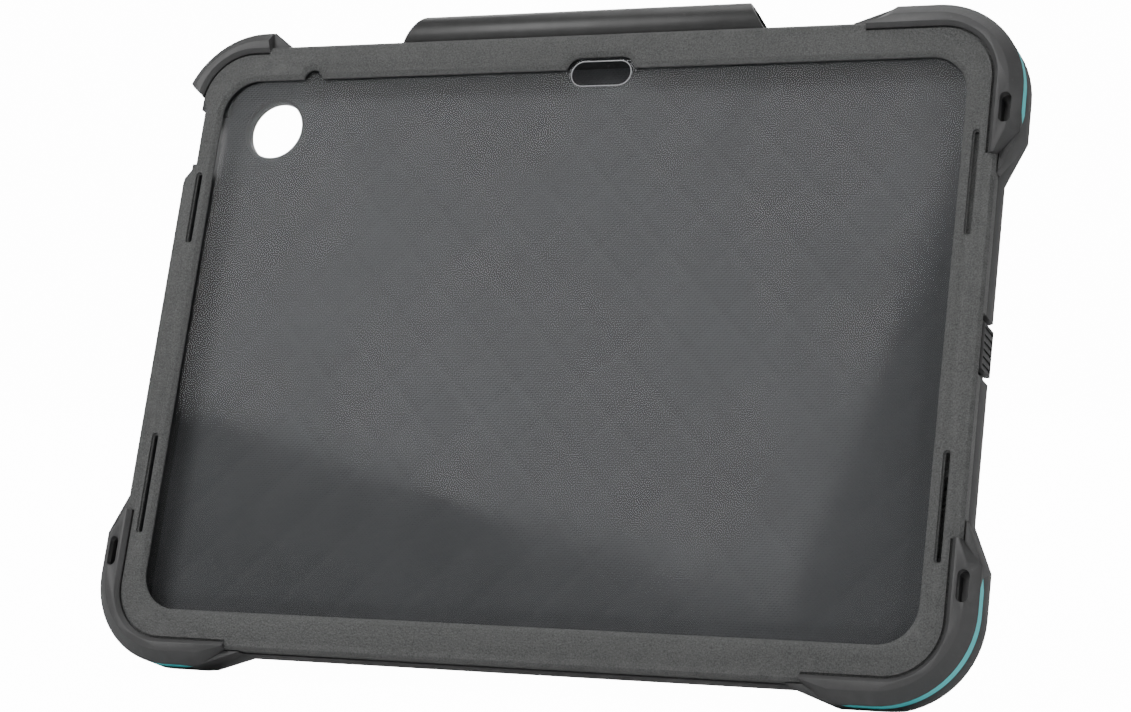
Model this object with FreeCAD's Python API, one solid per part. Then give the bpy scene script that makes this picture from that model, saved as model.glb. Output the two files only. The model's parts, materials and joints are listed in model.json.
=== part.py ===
import FreeCAD, Part

import math
import os

from FreeCAD import Placement, Rotation, Vector

# Rugged tablet case. Millimetres.
#
# The case is drawn lying flat, in case coordinates: X to the right, Y towards the top edge and
# Z out of the screen, with the tablet's glass at Z = 0 and the tablet's centre at X = Y = 0.
# At the end every piece is tilted into the standing pose: +Z up, +Y to the back, leaning
# against the kickstand, with the origin at the middle of the box's bottom.

# --- the tablet that the case is made for ---------------------------------------------------
TABLET_W = 248.6
TABLET_H = 179.5
TABLET_T = 7.0
TABLET_R = 12.0

# --- named clearances -----------------------------------------------------------------------
TABLET_CLEARANCE = 0.3
LIFT_OFF_CLEARANCE = 0.25
REST_GAP = 0.1
MOVING_CLEARANCE = 0.3
RUNNING_CLEARANCE = 0.06

# --- back shell -----------------------------------------------------------------------------
PAD_THICKNESS_X = 2.85
PAD_THICKNESS_Y = 2.4
PAD_LEG = 13.0
SHELL_WALL = 2.6
SHELL_FLOOR = 2.2
SHELL_R = 16.0
SHELL_RIM_Z = 0.4
LINER_THICKNESS = 0.8
LINER_EDGE = 0.9
CAMERA_R = 9.5
CAMERA_FROM_SIDE = 17.3
CAMERA_FROM_TOP = 17.2
CAMERA_GUARD_WALL = 2.1
CAMERA_GUARD_HEIGHT = 1.1

# --- front frame ----------------------------------------------------------------------------
SKIRT_THICKNESS = 1.6
FRAME_PLATE = 1.4
FRAME_FRONT_Z = 2.2
FRAME_EDGE_CHAMFER = 1.0
SKIRT_DEPTH = 3.1
WINDOW_LIP_X = 2.8
WINDOW_LIP_Y = 4.15
WINDOW_R = 11.5
WINDOW_CHAMFER_WIDTH = 1.5
WINDOW_CHAMFER_DEPTH = 0.8
GROOVE_WIDTH = 0.7
GROOVE_DEPTH = 0.9
SEAM_SETBACK_X = 2.5
SEAM_SETBACK_Y = 2.0
SEAM_R = 16.6
SOUND_SLOT_WIDTH = 2.3
SOUND_SLOT_STEP = 0.5
SOUND_SLOT_FROM_EDGE = 6.2
SOUND_SLOT_START = 31.0
SOUND_SLOT_LENGTH = 31.8
SOUND_SLOT_SHORT = 23.7
ROUND_END = 0.98
CAMERA_PILL_X = 7.4
CAMERA_PILL_FROM_TOP = 5.25
CAMERA_PILL_HALF_W = 9.9
CAMERA_PILL_HALF_H = 4.15
PILL_NOTCH_HALF_W = 11.0
PILL_NOTCH_TOP = 4.9
PILL_NOTCH_R = 4.5
SENSOR_FROM_SIDE = 33.6
SENSOR_R = 3.1

# --- screen film ----------------------------------------------------------------------------
FILM_Z = 0.12
FILM_THICKNESS = 0.3
FILM_MARGIN = 0.4
TAPE_MARGIN = 0.8

# --- rubber corners -------------------------------------------------------------------------
BUMPER_OUT_X = 5.7
BUMPER_OUT_Y = 5.3
BUMPER_R = 27.0
BUMPER_FRONT_Z = 3.4
BUMPER_PART_Z = 0.6
BUMPER_SLOPE = 3.5
BUMPER_TIP_SLOPE = 0.6
BUMPER_INNER_CHAMFER = 1.2
BUMPER_RUN_X = 47.6
BUMPER_RUN_Y = 46.7
BUMPER_RAMP_X = 8.4
BUMPER_RAMP_Y = 7.0
LOBE_RUN_X = 52.1
LOBE_RUN_Y = 52.7
LOBE_RAMP_X = 14.0
LOBE_RAMP_Y = 12.9
SHORT_BUMPER_RUN_X = 30.4
SHORT_BUMPER_RAMP_X = 0.7
SHORT_LOBE_RUN_X = 36.9
SHORT_LOBE_RAMP_X = 6.4
LANYARD_WIDTH = 3.2
LANYARD_LENGTH = 9.0
LANYARD_FROM_EDGE = 4.2
LANYARD_FROM_END = 33.4

# --- shock sleeve and its stripes -----------------------------------------------------------
SLEEVE_SIDE_X = 1.85
SLEEVE_SIDE_Y = 2.3
SLEEVE_LIP = 1.2
SLEEVE_LIP_WIDTH = 10.5
SLEEVE_LIP_R = 9.0
SLEEVE_REAR_CHAMFER = 1.2
STRIPE_FRONT_Z = 0.2
STRIPE_HEIGHT = 3.6
STRIPE_DEPTH = 1.2
STRIPE_POINT = 3.0
STRIPE_RUN_X = 36.1
STRIPE_RUN_Y = 36.7
STRIPE_SHORT_RUN_X = 29.1

# --- finger gap at the power button ---------------------------------------------------------
FINGER_GAP_FROM_TOP = 12.15
FINGER_GAP_LENGTH = 20.4
FINGER_GAP_R = 1.5
FINGER_GAP_LEAVES = 6.1
FINGER_GAP_FLARE_X = 4.3
FINGER_GAP_FLARE_Y = 5.6
FINGER_GAP_STEP_X = 2.1
FINGER_GAP_STEP_Y = 3.3
FINGER_GAP_SLOPE = 0.86

# --- stylus sleeve --------------------------------------------------------------------------
STYLUS_OUTER_R = 6.3
STYLUS_BORE_R = 4.7
STYLUS_ABOVE_SHELL = 6.15
STYLUS_Z = -5.5
STYLUS_FROM_BUTTON = 12.2
STYLUS_FROM_LOBE = 26.5
STYLUS_END_SLANT = 0.62
STYLUS_FOOT_FRONT = -2.6
STYLUS_FOOT_REAR = -10.0

# --- port door ------------------------------------------------------------------------------
PORT_HALF = 7.0
PORT_SILL = 0.5
DOOR_HALF = 6.6
DOOR_SLIT = 2.3
DOOR_THICKNESS = 1.8
DOOR_FRONT_Z = -0.6
DOOR_HINGE_UP = 0.6
DOOR_RIBS = 5
DOOR_RIB_PITCH = 2.1
DOOR_RIB_GAP = 0.9
DOOR_RIB_DEPTH = 0.5
PLUG_HALF_W = 4.2
PLUG_THICKNESS = 2.6
PLUG_LENGTH = 0.7
PLUG_ROUNDING = 0.9
DOOR_EDGE_R = 0.6
DOOR_FOOT_R = 0.4

# --- volume buttons -------------------------------------------------------------------------
BUTTON_FROM_SIDE = (36.8, 48.8)
BUTTON_Z = -4.9
BUTTON_HALF_W = 4.5
BUTTON_HALF_H = 1.7
BUTTON_PROUD = 0.8
BUTTON_FLANGE = 0.7
BUTTON_FLANGE_THICKNESS = 0.9
BUTTON_STEM_HALF_W = 2.5
BUTTON_STEM_HALF_H = 1.2
BUTTON_TRAVEL = 0.6
BUTTON_REST_GAP = 0.05
BUTTON_R = 1.2
BUTTON_WINDOW_R = 0.8
BUTTON_STEM_R = 0.4

# --- swivel ---------------------------------------------------------------------------------
HUB_R = 20.0
SEAT_R = 30.0
SEAT_HEIGHT = 1.9
HUB_FLANGE = 6.0
HUB_FLOOR_LEFT = 0.4
RETAINER_THICKNESS = 1.3
FRICTION_RING_INNER_R = 22.5
FRICTION_RING_OUTER_R = 29.0
FRICTION_RING_THICKNESS = 0.6
SWIVEL_HALF_W = 56.0
SWIVEL_HALF_H = 42.0
SWIVEL_R = 15.0
SWIVEL_THICKNESS = 2.4
SWIVEL_POCKET_DEPTH = 1.0
SWIVEL_POCKET_MARGIN = 6.0
SCREW_CIRCLE_R = 13.0
SCREW_COUNT = 4
SCREW_R = 1.5
SCREW_HEAD_R = 2.9
SCREW_BITE = 4.2

# --- hand strap -----------------------------------------------------------------------------
STRAP_WIDTH = 40.0
STRAP_THICKNESS = 2.2
STRAP_TAB_END = 53.0
STRAP_BASE_HALF = 41.0
STRAP_CROWN_HALF = 31.0
STRAP_RISE = 28.0
STRAP_R = 15.0
PAD_FOAM = 3.4
PAD_SHORTER = 0.85
PAD_EXTRA_WIDTH = 4.0
PAD_ROUNDING = 0.45
CLAMP_HALF_W = 3.2
CLAMP_THICKNESS = 2.0
CLAMP_X = 48.5
CLAMP_SCREW_Y = 14.0
CLAMP_SCREW_R = 1.25
CLAMP_HEAD_R = 2.4
CLAMP_HEAD_HEIGHT = 1.2
CLAMP_ROUNDING = 0.9

# --- kickstand ------------------------------------------------------------------------------
HINGE_Y = 26.0
HINGE_BEHIND_PLATE = 0.7
HINGE_BARREL_R = 3.0
HINGE_BARREL_LENGTH = 12.0
PIN_R = 1.5
PIN_HEAD_R = 2.6
PIN_HEAD_THICKNESS = 1.2
WASHER_THICKNESS = 0.8
LEG_WIDTH = 7.0
LEG_THICKNESS = 3.0
LEG_EYE_R = 3.3
FOOT_REACH_PER_HEIGHT = 1.0432
LEG_BAR = 9.0
LEG_OUTER_R = 10.0
LEG_INNER_R = 5.0
FOOT_HALF_LENGTH = 44.0
FOOT_OVER_BAR = 1.1
FOOT_TIP = 2.5
FOOT_WRAP = 7.0
FOOT_FLATTENED = 0.6
FOOT_R = 0.8

# --- standing pose --------------------------------------------------------------------------
LEAN_BACK = 18.2
CORNER_FLATTENED = 0.7

# --- sizes that follow from those above -----------------------------------------------------
PAD_IN_X = TABLET_W / 2 + TABLET_CLEARANCE
PAD_IN_Y = TABLET_H / 2 + TABLET_CLEARANCE
WALL_IN_X = PAD_IN_X + PAD_THICKNESS_X
WALL_IN_Y = PAD_IN_Y + PAD_THICKNESS_Y
SHELL_X = WALL_IN_X + SHELL_WALL
SHELL_Y = WALL_IN_Y + SHELL_WALL
FRAME_X = SHELL_X + LIFT_OFF_CLEARANCE + SKIRT_THICKNESS
FRAME_Y = SHELL_Y + LIFT_OFF_CLEARANCE + SKIRT_THICKNESS
SEAM_X = FRAME_X - SEAM_SETBACK_X
SEAM_Y = FRAME_Y - SEAM_SETBACK_Y
SLEEVE_X = SHELL_X + SLEEVE_SIDE_X
SLEEVE_Y = SHELL_Y + SLEEVE_SIDE_Y
BUMPER_X = SLEEVE_X + BUMPER_OUT_X
BUMPER_Y = FRAME_Y + BUMPER_OUT_Y
BUMPER_END_X = BUMPER_X - BUMPER_RUN_X
BUMPER_END_Y = BUMPER_Y - BUMPER_RUN_Y
SHORT_BUMPER_END_X = BUMPER_X - SHORT_BUMPER_RUN_X
LOBE_START_X = BUMPER_X - LOBE_RUN_X
LOBE_START_Y = BUMPER_Y - LOBE_RUN_Y
SHORT_LOBE_START_X = BUMPER_X - SHORT_LOBE_RUN_X
STRIPE_START_X = BUMPER_X - STRIPE_RUN_X
STRIPE_START_Y = BUMPER_Y - STRIPE_RUN_Y
STRIPE_SHORT_START_X = BUMPER_X - STRIPE_SHORT_RUN_X
LANYARD_Y = BUMPER_Y - LANYARD_FROM_END
FINGER_GAP_HIGH_Y = TABLET_H / 2 - FINGER_GAP_FROM_TOP
FINGER_GAP_LOW_Y = FINGER_GAP_HIGH_Y - FINGER_GAP_LENGTH
CAMERA_PILL_Y = TABLET_H / 2 - CAMERA_PILL_FROM_TOP
SENSOR_X = SENSOR_FROM_SIDE - TABLET_W / 2
BUTTON_X = tuple(from_side - TABLET_W / 2 for from_side in BUTTON_FROM_SIDE)
WINDOW_X = TABLET_W / 2 - WINDOW_LIP_X
WINDOW_Y = TABLET_H / 2 - WINDOW_LIP_Y

LINER_Z = -TABLET_T - REST_GAP
FLOOR_Z = LINER_Z - LINER_THICKNESS
BACK_Z = FLOOR_Z - SHELL_FLOOR
SLEEVE_BACK_Z = BACK_Z - SLEEVE_LIP
FRAME_UNDER_Z = FRAME_FRONT_Z - FRAME_PLATE
SKIRT_END_Z = FRAME_UNDER_Z - SKIRT_DEPTH
SLEEVE_FRONT_Z = SKIRT_END_Z - 2 * REST_GAP
LOBE_FRONT_Z = BUMPER_PART_Z - REST_GAP
SEAT_Z = BACK_Z - SEAT_HEIGHT
RECESS_Z = BACK_Z + HUB_FLOOR_LEFT
PLATE_FRONT_Z = SEAT_Z - FRICTION_RING_THICKNESS - REST_GAP
PLATE_BACK_Z = PLATE_FRONT_Z - SWIVEL_THICKNESS
HUB_TOP_Z = RECESS_Z + REST_GAP
RETAINER_Z = HUB_TOP_Z + RETAINER_THICKNESS
HINGE_Z = PLATE_BACK_Z + HINGE_BEHIND_PLATE
LEG_IN_X = SWIVEL_HALF_W + WASHER_THICKNESS + 2 * REST_GAP
LEG_OUT_X = LEG_IN_X + LEG_WIDTH
STYLUS_Y = SHELL_Y + STYLUS_ABOVE_SHELL
STYLUS_LEFT_X = BUTTON_X[1] + STYLUS_FROM_BUTTON
STYLUS_RIGHT_X = LOBE_START_X - STYLUS_FROM_LOBE
CAMERA_X = -(TABLET_W / 2 - CAMERA_FROM_SIDE)
CAMERA_Y = TABLET_H / 2 - CAMERA_FROM_TOP
LANYARD_X = BUMPER_X - LANYARD_FROM_EDGE
DOOR_IN_X = SHELL_X + MOVING_CLEARANCE
DOOR_OUT_X = DOOR_IN_X + DOOR_THICKNESS
DOOR_BACK_Z = SLEEVE_BACK_Z + 2 * REST_GAP
DOOR_HINGE_X = DOOR_IN_X + DOOR_THICKNESS / 2
DOOR_HINGE_Z = DOOR_BACK_Z + DOOR_HINGE_UP
PLUG_Z = -TABLET_T / 2
FAR = 200.0
OVER = 1.0

TILT = math.radians(LEAN_BACK)
UP_Y = math.cos(TILT)
UP_Z = math.sin(TILT)


def height(y, z):
    """Height of a point of the case above the tablet's centre in the standing pose."""
    return y * UP_Y + z * UP_Z


FLOOR_HEIGHT = height(-BUMPER_Y, BACK_Z) + CORNER_FLATTENED
FOOT_HALF_DEPTH = LEG_THICKNESS / 2 + FOOT_OVER_BAR
STAND_HEIGHT = height(HINGE_Y, HINGE_Z) - FLOOR_HEIGHT + FOOT_FLATTENED
FOOT_REACH = STAND_HEIGHT * FOOT_REACH_PER_HEIGHT
LEG_REACH = FOOT_REACH - FOOT_TIP
FOOT_DIAGONAL = math.hypot(FOOT_REACH, FOOT_HALF_DEPTH)
LEG_FROM_VERTICAL = math.degrees(
    math.acos(STAND_HEIGHT / FOOT_DIAGONAL) + math.atan2(FOOT_HALF_DEPTH, FOOT_REACH)
)
LEG_OPEN = LEG_FROM_VERTICAL + LEAN_BACK


# --- drawing helpers ------------------------------------------------------------------------
def flat(u, v):
    """A point of an outline in the plane Z = 0."""
    return Vector(u, v, 0)


def rounded_polygon(corners, place=flat):
    """Closed wire through corners (u, v, radius); place turns (u, v) into a point."""
    rounded = []
    for index, (u, v, radius) in enumerate(corners):
        here = place(u, v)
        before = place(*corners[index - 1][:2]) - here
        after = place(*corners[(index + 1) % len(corners)][:2]) - here
        before.normalize()
        after.normalize()
        half_angle = before.getAngle(after) / 2
        inward = (before + after).normalize()
        middle = here + inward * (radius / math.sin(half_angle) - radius)
        back = radius / math.tan(half_angle)
        rounded.append((here + before * back, middle, here + after * back, radius))
    edges = []
    for index, (start, middle, end, radius) in enumerate(rounded):
        if radius > 0:
            edges.append(Part.Arc(start, middle, end).toShape())
        following = rounded[(index + 1) % len(rounded)][0]
        if (following - end).Length > 1e-6:
            edges.append(Part.LineSegment(end, following).toShape())
    return Part.Wire(edges)


def rectangle(half_u, half_v, radius=0.0, centre=(0.0, 0.0)):
    """Corners of a rounded rectangle, anticlockwise from the lower left."""
    signs = ((-1, -1), (1, -1), (1, 1), (-1, 1))
    return [(centre[0] + s * half_u, centre[1] + t * half_v, radius) for s, t in signs]


def prism(corners, z0, z1):
    """Upright solid of an outline in X and Y, from z0 up to z1."""
    face = Part.Face(rounded_polygon(corners, lambda u, v: Vector(u, v, z0)))
    return face.extrude(Vector(0, 0, z1 - z0))


def cross_prism_x(corners, x0, x1):
    """Solid of an outline in Y and Z, from x0 to x1."""
    face = Part.Face(rounded_polygon(corners, lambda u, v: Vector(x0, u, v)))
    return face.extrude(Vector(x1 - x0, 0, 0))


def cross_prism_y(corners, y0, y1):
    """Solid of an outline in X and Z, from y0 to y1."""
    face = Part.Face(rounded_polygon(corners, lambda u, v: Vector(u, y0, v)))
    return face.extrude(Vector(0, y1 - y0, 0))


def taper(low, z0, high, z1):
    """Solid with straight sides between two outlines that have the same corners."""
    wires = [
        rounded_polygon(corners, lambda u, v, z=z: Vector(u, v, z))
        for corners, z in ((low, z0), (high, z1))
    ]
    return Part.makeLoft(wires, True, True)


def block(x0, x1, y0, y1, z0, z1):
    """Box between two opposite corners."""
    return Part.makeBox(x1 - x0, y1 - y0, z1 - z0, Vector(x0, y0, z0))


def rod(radius, start, end):
    """Cylinder from one point to another."""
    axis = Vector(*end) - Vector(*start)
    return Part.makeCylinder(radius, axis.Length, Vector(*start), axis)


def disc(radius, z0, z1, centre=(0.0, 0.0)):
    """Upright cylinder."""
    return rod(radius, (centre[0], centre[1], z0), (centre[0], centre[1], z1))


def joined(shapes):
    """One shape from several that touch or overlap."""
    whole = shapes[0].fuse(shapes[1:]) if len(shapes) > 1 else shapes[0]
    return whole.removeSplitter()


def to_corner(shape, side_x, side_y):
    """A shape drawn for the upper right corner, brought to another corner."""
    if side_x < 0:
        shape = shape.mirror(Vector(0, 0, 0), Vector(1, 0, 0))
    if side_y < 0:
        shape = shape.mirror(Vector(0, 0, 0), Vector(0, 1, 0))
    return shape


CORNERS = {"tl": (-1, 1), "tr": (1, 1), "bl": (-1, -1), "br": (1, -1)}


# --- rubber corners -------------------------------------------------------------------------
def corner_outline(out_x, out_y, radius, edge, start, ramp, tip=0.0):
    """Outline of a corner, swelling out of the side walls by a ramp at each end.

    edge is the side wall's place, start where each end begins and ramp how long it rises.
    """
    return [
        (start[0], start[1], 0),
        (start[0], edge[1] - tip, 0),
        (start[0] + ramp[0], out_y, 0),
        (out_x, out_y, radius),
        (out_x, start[1] + ramp[1], 0),
        (edge[0] - tip, start[1], 0),
    ]


def bumper_ends(name):
    """Where a front bumper's two ends begin, and how long their ramps are."""
    if name == "tl":
        return (SHORT_BUMPER_END_X, BUMPER_END_Y), (SHORT_BUMPER_RAMP_X, BUMPER_RAMP_Y)
    return (BUMPER_END_X, BUMPER_END_Y), (BUMPER_RAMP_X, BUMPER_RAMP_Y)


def lobe_ends(name):
    """Where a rear corner's two ends begin, and how long their ramps are."""
    if name == "tl":
        return (SHORT_LOBE_START_X, LOBE_START_Y), (SHORT_LOBE_RAMP_X, LOBE_RAMP_Y)
    return (LOBE_START_X, LOBE_START_Y), (LOBE_RAMP_X, LOBE_RAMP_Y)


def lanyard_slot():
    """Space of the lanyard slot in the upper right corner."""
    half_w = LANYARD_WIDTH / 2
    corners = rectangle(half_w, LANYARD_LENGTH / 2, half_w * ROUND_END, (LANYARD_X, LANYARD_Y))
    return prism(corners, SLEEVE_BACK_Z - OVER, BUMPER_FRONT_Z + OVER)


def finger_gap(z0, z1):
    """Space beside the tablet's power button, on the left side."""
    near = WINDOW_X + FINGER_GAP_LEAVES
    flare = FINGER_GAP_FLARE_Y / FINGER_GAP_FLARE_X
    reach = BUMPER_X + OVER - near
    step_x, step_y = near + FINGER_GAP_STEP_X, FINGER_GAP_HIGH_Y + FINGER_GAP_STEP_Y
    top = step_y + (reach - FINGER_GAP_STEP_X) * FINGER_GAP_SLOPE
    return prism(
        [
            (-near, FINGER_GAP_LOW_Y, FINGER_GAP_R),
            (-near - reach, FINGER_GAP_LOW_Y - reach * flare, 0),
            (-near - reach, top, 0),
            (-step_x, step_y, 0),
            (-near, FINGER_GAP_HIGH_Y, FINGER_GAP_R),
        ],
        z0,
        z1,
    )


def front_bumper(name):
    """Smooth rubber corner that stands proud of the frame's face."""
    start, ramp = bumper_ends(name)
    low = corner_outline(BUMPER_X, BUMPER_Y, BUMPER_R, (FRAME_X, FRAME_Y), start, ramp)
    slope = BUMPER_SLOPE
    high = corner_outline(
        BUMPER_X - slope,
        BUMPER_Y - slope,
        BUMPER_R - slope,
        (FRAME_X, FRAME_Y),
        start,
        ramp,
        BUMPER_TIP_SLOPE,
    )
    body = taper(low, BUMPER_PART_Z, high, BUMPER_FRONT_Z)
    seam = rectangle(SEAM_X, SEAM_Y, SEAM_R)
    rise = BUMPER_INNER_CHAMFER
    wide = rectangle(SEAM_X + rise, SEAM_Y + rise, SEAM_R + rise)
    body = body.cut(prism(seam, BUMPER_PART_Z - OVER, FRAME_FRONT_Z))
    body = body.cut(taper(seam, FRAME_FRONT_Z, wide, BUMPER_FRONT_Z))
    if name == "tl":
        body = to_corner(body, *CORNERS[name])
        return body.cut(finger_gap(BUMPER_PART_Z - OVER, BUMPER_FRONT_Z + OVER))
    return to_corner(body.cut(lanyard_slot()), *CORNERS[name])


def rear_lobe(name):
    """Rear half of a rubber corner, still solid where the shell goes."""
    start, ramp = lobe_ends(name)
    edge = (SLEEVE_X, SLEEVE_Y)
    cut = SLEEVE_REAR_CHAMFER
    full = corner_outline(BUMPER_X, BUMPER_Y, BUMPER_R, edge, start, ramp)
    small = corner_outline(
        BUMPER_X - cut, BUMPER_Y - cut, BUMPER_R - cut, edge, start, ramp, cut
    )
    lobe = prism(full, BACK_Z, LOBE_FRONT_Z).fuse(taper(small, SLEEVE_BACK_Z, full, BACK_Z))
    if name != "tl":
        lobe = lobe.cut(lanyard_slot())
    return to_corner(lobe, *CORNERS[name])


def stripe(name):
    """Coloured stripe let into a rear corner's side, with pointed ends."""
    z1 = STRIPE_FRONT_Z
    z0 = z1 - STRIPE_HEIGHT
    middle = (z0 + z1) / 2
    start, ramp = lobe_ends(name)
    deep = STRIPE_DEPTH
    edge = (SLEEVE_X, SLEEVE_Y)
    outer = prism(corner_outline(BUMPER_X, BUMPER_Y, BUMPER_R, edge, start, ramp), z0, z1)
    inner = prism(
        rectangle(BUMPER_X - deep, BUMPER_Y - deep, BUMPER_R - deep), z0 - OVER, z1 + OVER
    )
    start_x = STRIPE_SHORT_START_X if name == "tl" else STRIPE_START_X

    def pointed(begin):
        return [
            (begin, middle, 0),
            (begin + STRIPE_POINT, z0, 0),
            (FAR, z0, 0),
            (FAR, z1, 0),
            (begin + STRIPE_POINT, z1, 0),
        ]

    band = outer.cut(inner)
    band = band.common(cross_prism_x(pointed(STRIPE_START_Y), 0, FAR))
    band = band.common(cross_prism_y(pointed(start_x), 0, FAR))
    band = to_corner(band, *CORNERS[name])
    return band.cut(finger_gap(z0 - OVER, z1 + OVER)) if name == "tl" else band


# --- front half -----------------------------------------------------------------------------
def sound_slots():
    """Stepped slots beside the screen; the one by the finger gap is shorter."""
    x = FRAME_X - SOUND_SLOT_FROM_EDGE
    runs = [
        (x, SOUND_SLOT_START, SOUND_SLOT_LENGTH),
        (x, -SOUND_SLOT_START - SOUND_SLOT_LENGTH, SOUND_SLOT_LENGTH),
        (-x, SOUND_SLOT_START, SOUND_SLOT_SHORT),
        (-x, -SOUND_SLOT_START - SOUND_SLOT_LENGTH, SOUND_SLOT_LENGTH),
    ]
    slots = []
    for at_x, low, length in runs:
        for inset, z0, z1 in (
            (0.0, FRAME_FRONT_Z - FRAME_PLATE / 2, FRAME_FRONT_Z + OVER),
            (SOUND_SLOT_STEP, FRAME_UNDER_Z - OVER, FRAME_FRONT_Z),
        ):
            half_w = SOUND_SLOT_WIDTH / 2 - inset
            half_l = length / 2 - inset
            centre = (at_x, low + length / 2)
            slots.append(prism(rectangle(half_w, half_l, half_w * ROUND_END, centre), z0, z1))
    return slots


def window_space():
    """The screen window, its two notches and the chamfer round them."""
    chamfer = WINDOW_CHAMFER_WIDTH
    chamfer_z = FRAME_FRONT_Z - WINDOW_CHAMFER_DEPTH
    overrun = 1 + OVER / WINDOW_CHAMFER_DEPTH
    wide = chamfer * overrun
    notch_y = CAMERA_PILL_Y + PILL_NOTCH_TOP
    notch_low = WINDOW_Y - WINDOW_R

    def notch(grow):
        half_h = (notch_y - notch_low) / 2
        centre = (CAMERA_PILL_X, (notch_y + notch_low) / 2)
        half_w = PILL_NOTCH_HALF_W + grow
        return rectangle(half_w, half_h + grow, PILL_NOTCH_R + grow, centre)

    def window(grow):
        return rectangle(WINDOW_X + grow, WINDOW_Y + grow, WINDOW_R + grow)

    low, high = FRAME_UNDER_Z - OVER, FRAME_FRONT_Z + OVER
    spaces = [
        prism(window(0), low, chamfer_z + OVER / 2),
        taper(window(0), chamfer_z, window(wide), high),
        prism(notch(0), low, chamfer_z + OVER / 2),
        taper(notch(0), chamfer_z, notch(wide), high),
        disc(SENSOR_R, low, high, (SENSOR_X, WINDOW_Y)),
        Part.makeCone(
            SENSOR_R, SENSOR_R + wide, high - chamfer_z, Vector(SENSOR_X, WINDOW_Y, chamfer_z)
        ),
    ]
    return spaces


def front_frame():
    """Hard textured frame with its skirt; the corners beyond the seam belong to the bumpers."""
    chamfer = FRAME_EDGE_CHAMFER
    outer = rectangle(FRAME_X, FRAME_Y, SHELL_R)
    face = rectangle(FRAME_X - chamfer, FRAME_Y - chamfer, SHELL_R - chamfer)
    plate = prism(outer, FRAME_UNDER_Z, FRAME_FRONT_Z - chamfer)
    plate = plate.fuse(taper(outer, FRAME_FRONT_Z - chamfer, face, FRAME_FRONT_Z))
    inside = rectangle(FRAME_X - SKIRT_THICKNESS, FRAME_Y - SKIRT_THICKNESS, SHELL_R)
    skirt = prism(outer, SKIRT_END_Z, FRAME_UNDER_Z)
    skirt = skirt.cut(prism(inside, SKIRT_END_Z - OVER, FRAME_UNDER_Z + OVER))
    body = plate.fuse(skirt)
    seam = rectangle(SEAM_X, SEAM_Y, SEAM_R)
    groove = rectangle(SEAM_X - GROOVE_WIDTH, SEAM_Y - GROOVE_WIDTH, SEAM_R - GROOVE_WIDTH)
    beyond_seam = prism(rectangle(FAR, FAR), SKIRT_END_Z - OVER, FRAME_FRONT_Z + OVER)
    beyond_seam = beyond_seam.cut(prism(seam, FRAME_UNDER_Z, FRAME_FRONT_Z + 2 * OVER))
    groove_ring = prism(seam, FRAME_FRONT_Z - GROOVE_DEPTH, FRAME_FRONT_Z + OVER)
    groove_ring = groove_ring.cut(prism(groove, FRAME_UNDER_Z, FRAME_FRONT_Z + 2 * OVER))
    below, above = SKIRT_END_Z - 2 * OVER, FRAME_FRONT_Z + 2 * OVER
    for name, (side_x, side_y) in CORNERS.items():
        start = bumper_ends(name)[0]
        zone = block(start[0], FAR, start[1], FAR, below, above)
        zone = to_corner(zone, side_x, side_y)
        body = body.cut(beyond_seam.common(zone))
        body = body.cut(groove_ring.common(zone))
    stylus_gap = block(
        STYLUS_LEFT_X - OVER, STYLUS_RIGHT_X + OVER, FRAME_Y - SKIRT_THICKNESS - OVER, FAR,
        below, FRAME_UNDER_Z,
    )
    door_half = DOOR_HALF + DOOR_SLIT
    door_gap = block(FRAME_X - SKIRT_THICKNESS - OVER, FAR, -door_half, door_half,
                     below, FRAME_UNDER_Z)
    cuts = [stylus_gap, door_gap, finger_gap(below, above)]
    return body.cut(cuts + sound_slots() + window_space()).removeSplitter()


def screen_film():
    """Clear film behind the frame, open at the front camera."""
    half_x = TABLET_W / 2 - FILM_MARGIN
    half_y = TABLET_H / 2 - FILM_MARGIN
    film = prism(rectangle(half_x, half_y, TABLET_R), FILM_Z, FILM_Z + FILM_THICKNESS)
    pill = rectangle(
        CAMERA_PILL_HALF_W,
        CAMERA_PILL_HALF_H,
        CAMERA_PILL_HALF_H * ROUND_END,
        (CAMERA_PILL_X, CAMERA_PILL_Y),
    )
    return film.cut(prism(pill, FILM_Z - OVER, FILM_Z + OVER))


def film_tape():
    """Adhesive between the film and the frame, broken at the two notches."""
    z0, z1 = FILM_Z + FILM_THICKNESS, FRAME_UNDER_Z
    half_x = TABLET_W / 2 - FILM_MARGIN
    half_y = TABLET_H / 2 - FILM_MARGIN
    tape = prism(rectangle(half_x, half_y, TABLET_R), z0, z1)
    margin = TAPE_MARGIN
    inner = rectangle(WINDOW_X + margin, WINDOW_Y + margin, WINDOW_R)
    notch_half = PILL_NOTCH_HALF_W + margin
    sensor_half = SENSOR_R + margin
    return tape.cut(
        [
            prism(inner, z0 - OVER, z1 + OVER),
            block(CAMERA_PILL_X - notch_half, CAMERA_PILL_X + notch_half, 0, FAR, z0, z1),
            block(SENSOR_X - sensor_half, SENSOR_X + sensor_half, 0, FAR, z0, z1),
        ]
    )


# --- back half ------------------------------------------------------------------------------
def button_windows(half_w, half_h, y0, y1):
    """Spaces for the volume buttons through a wall of the top side."""
    return [
        cross_prism_y(rectangle(half_w, half_h, BUTTON_WINDOW_R, (x, BUTTON_Z)), y0, y1)
        for x in BUTTON_X
    ]


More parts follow.
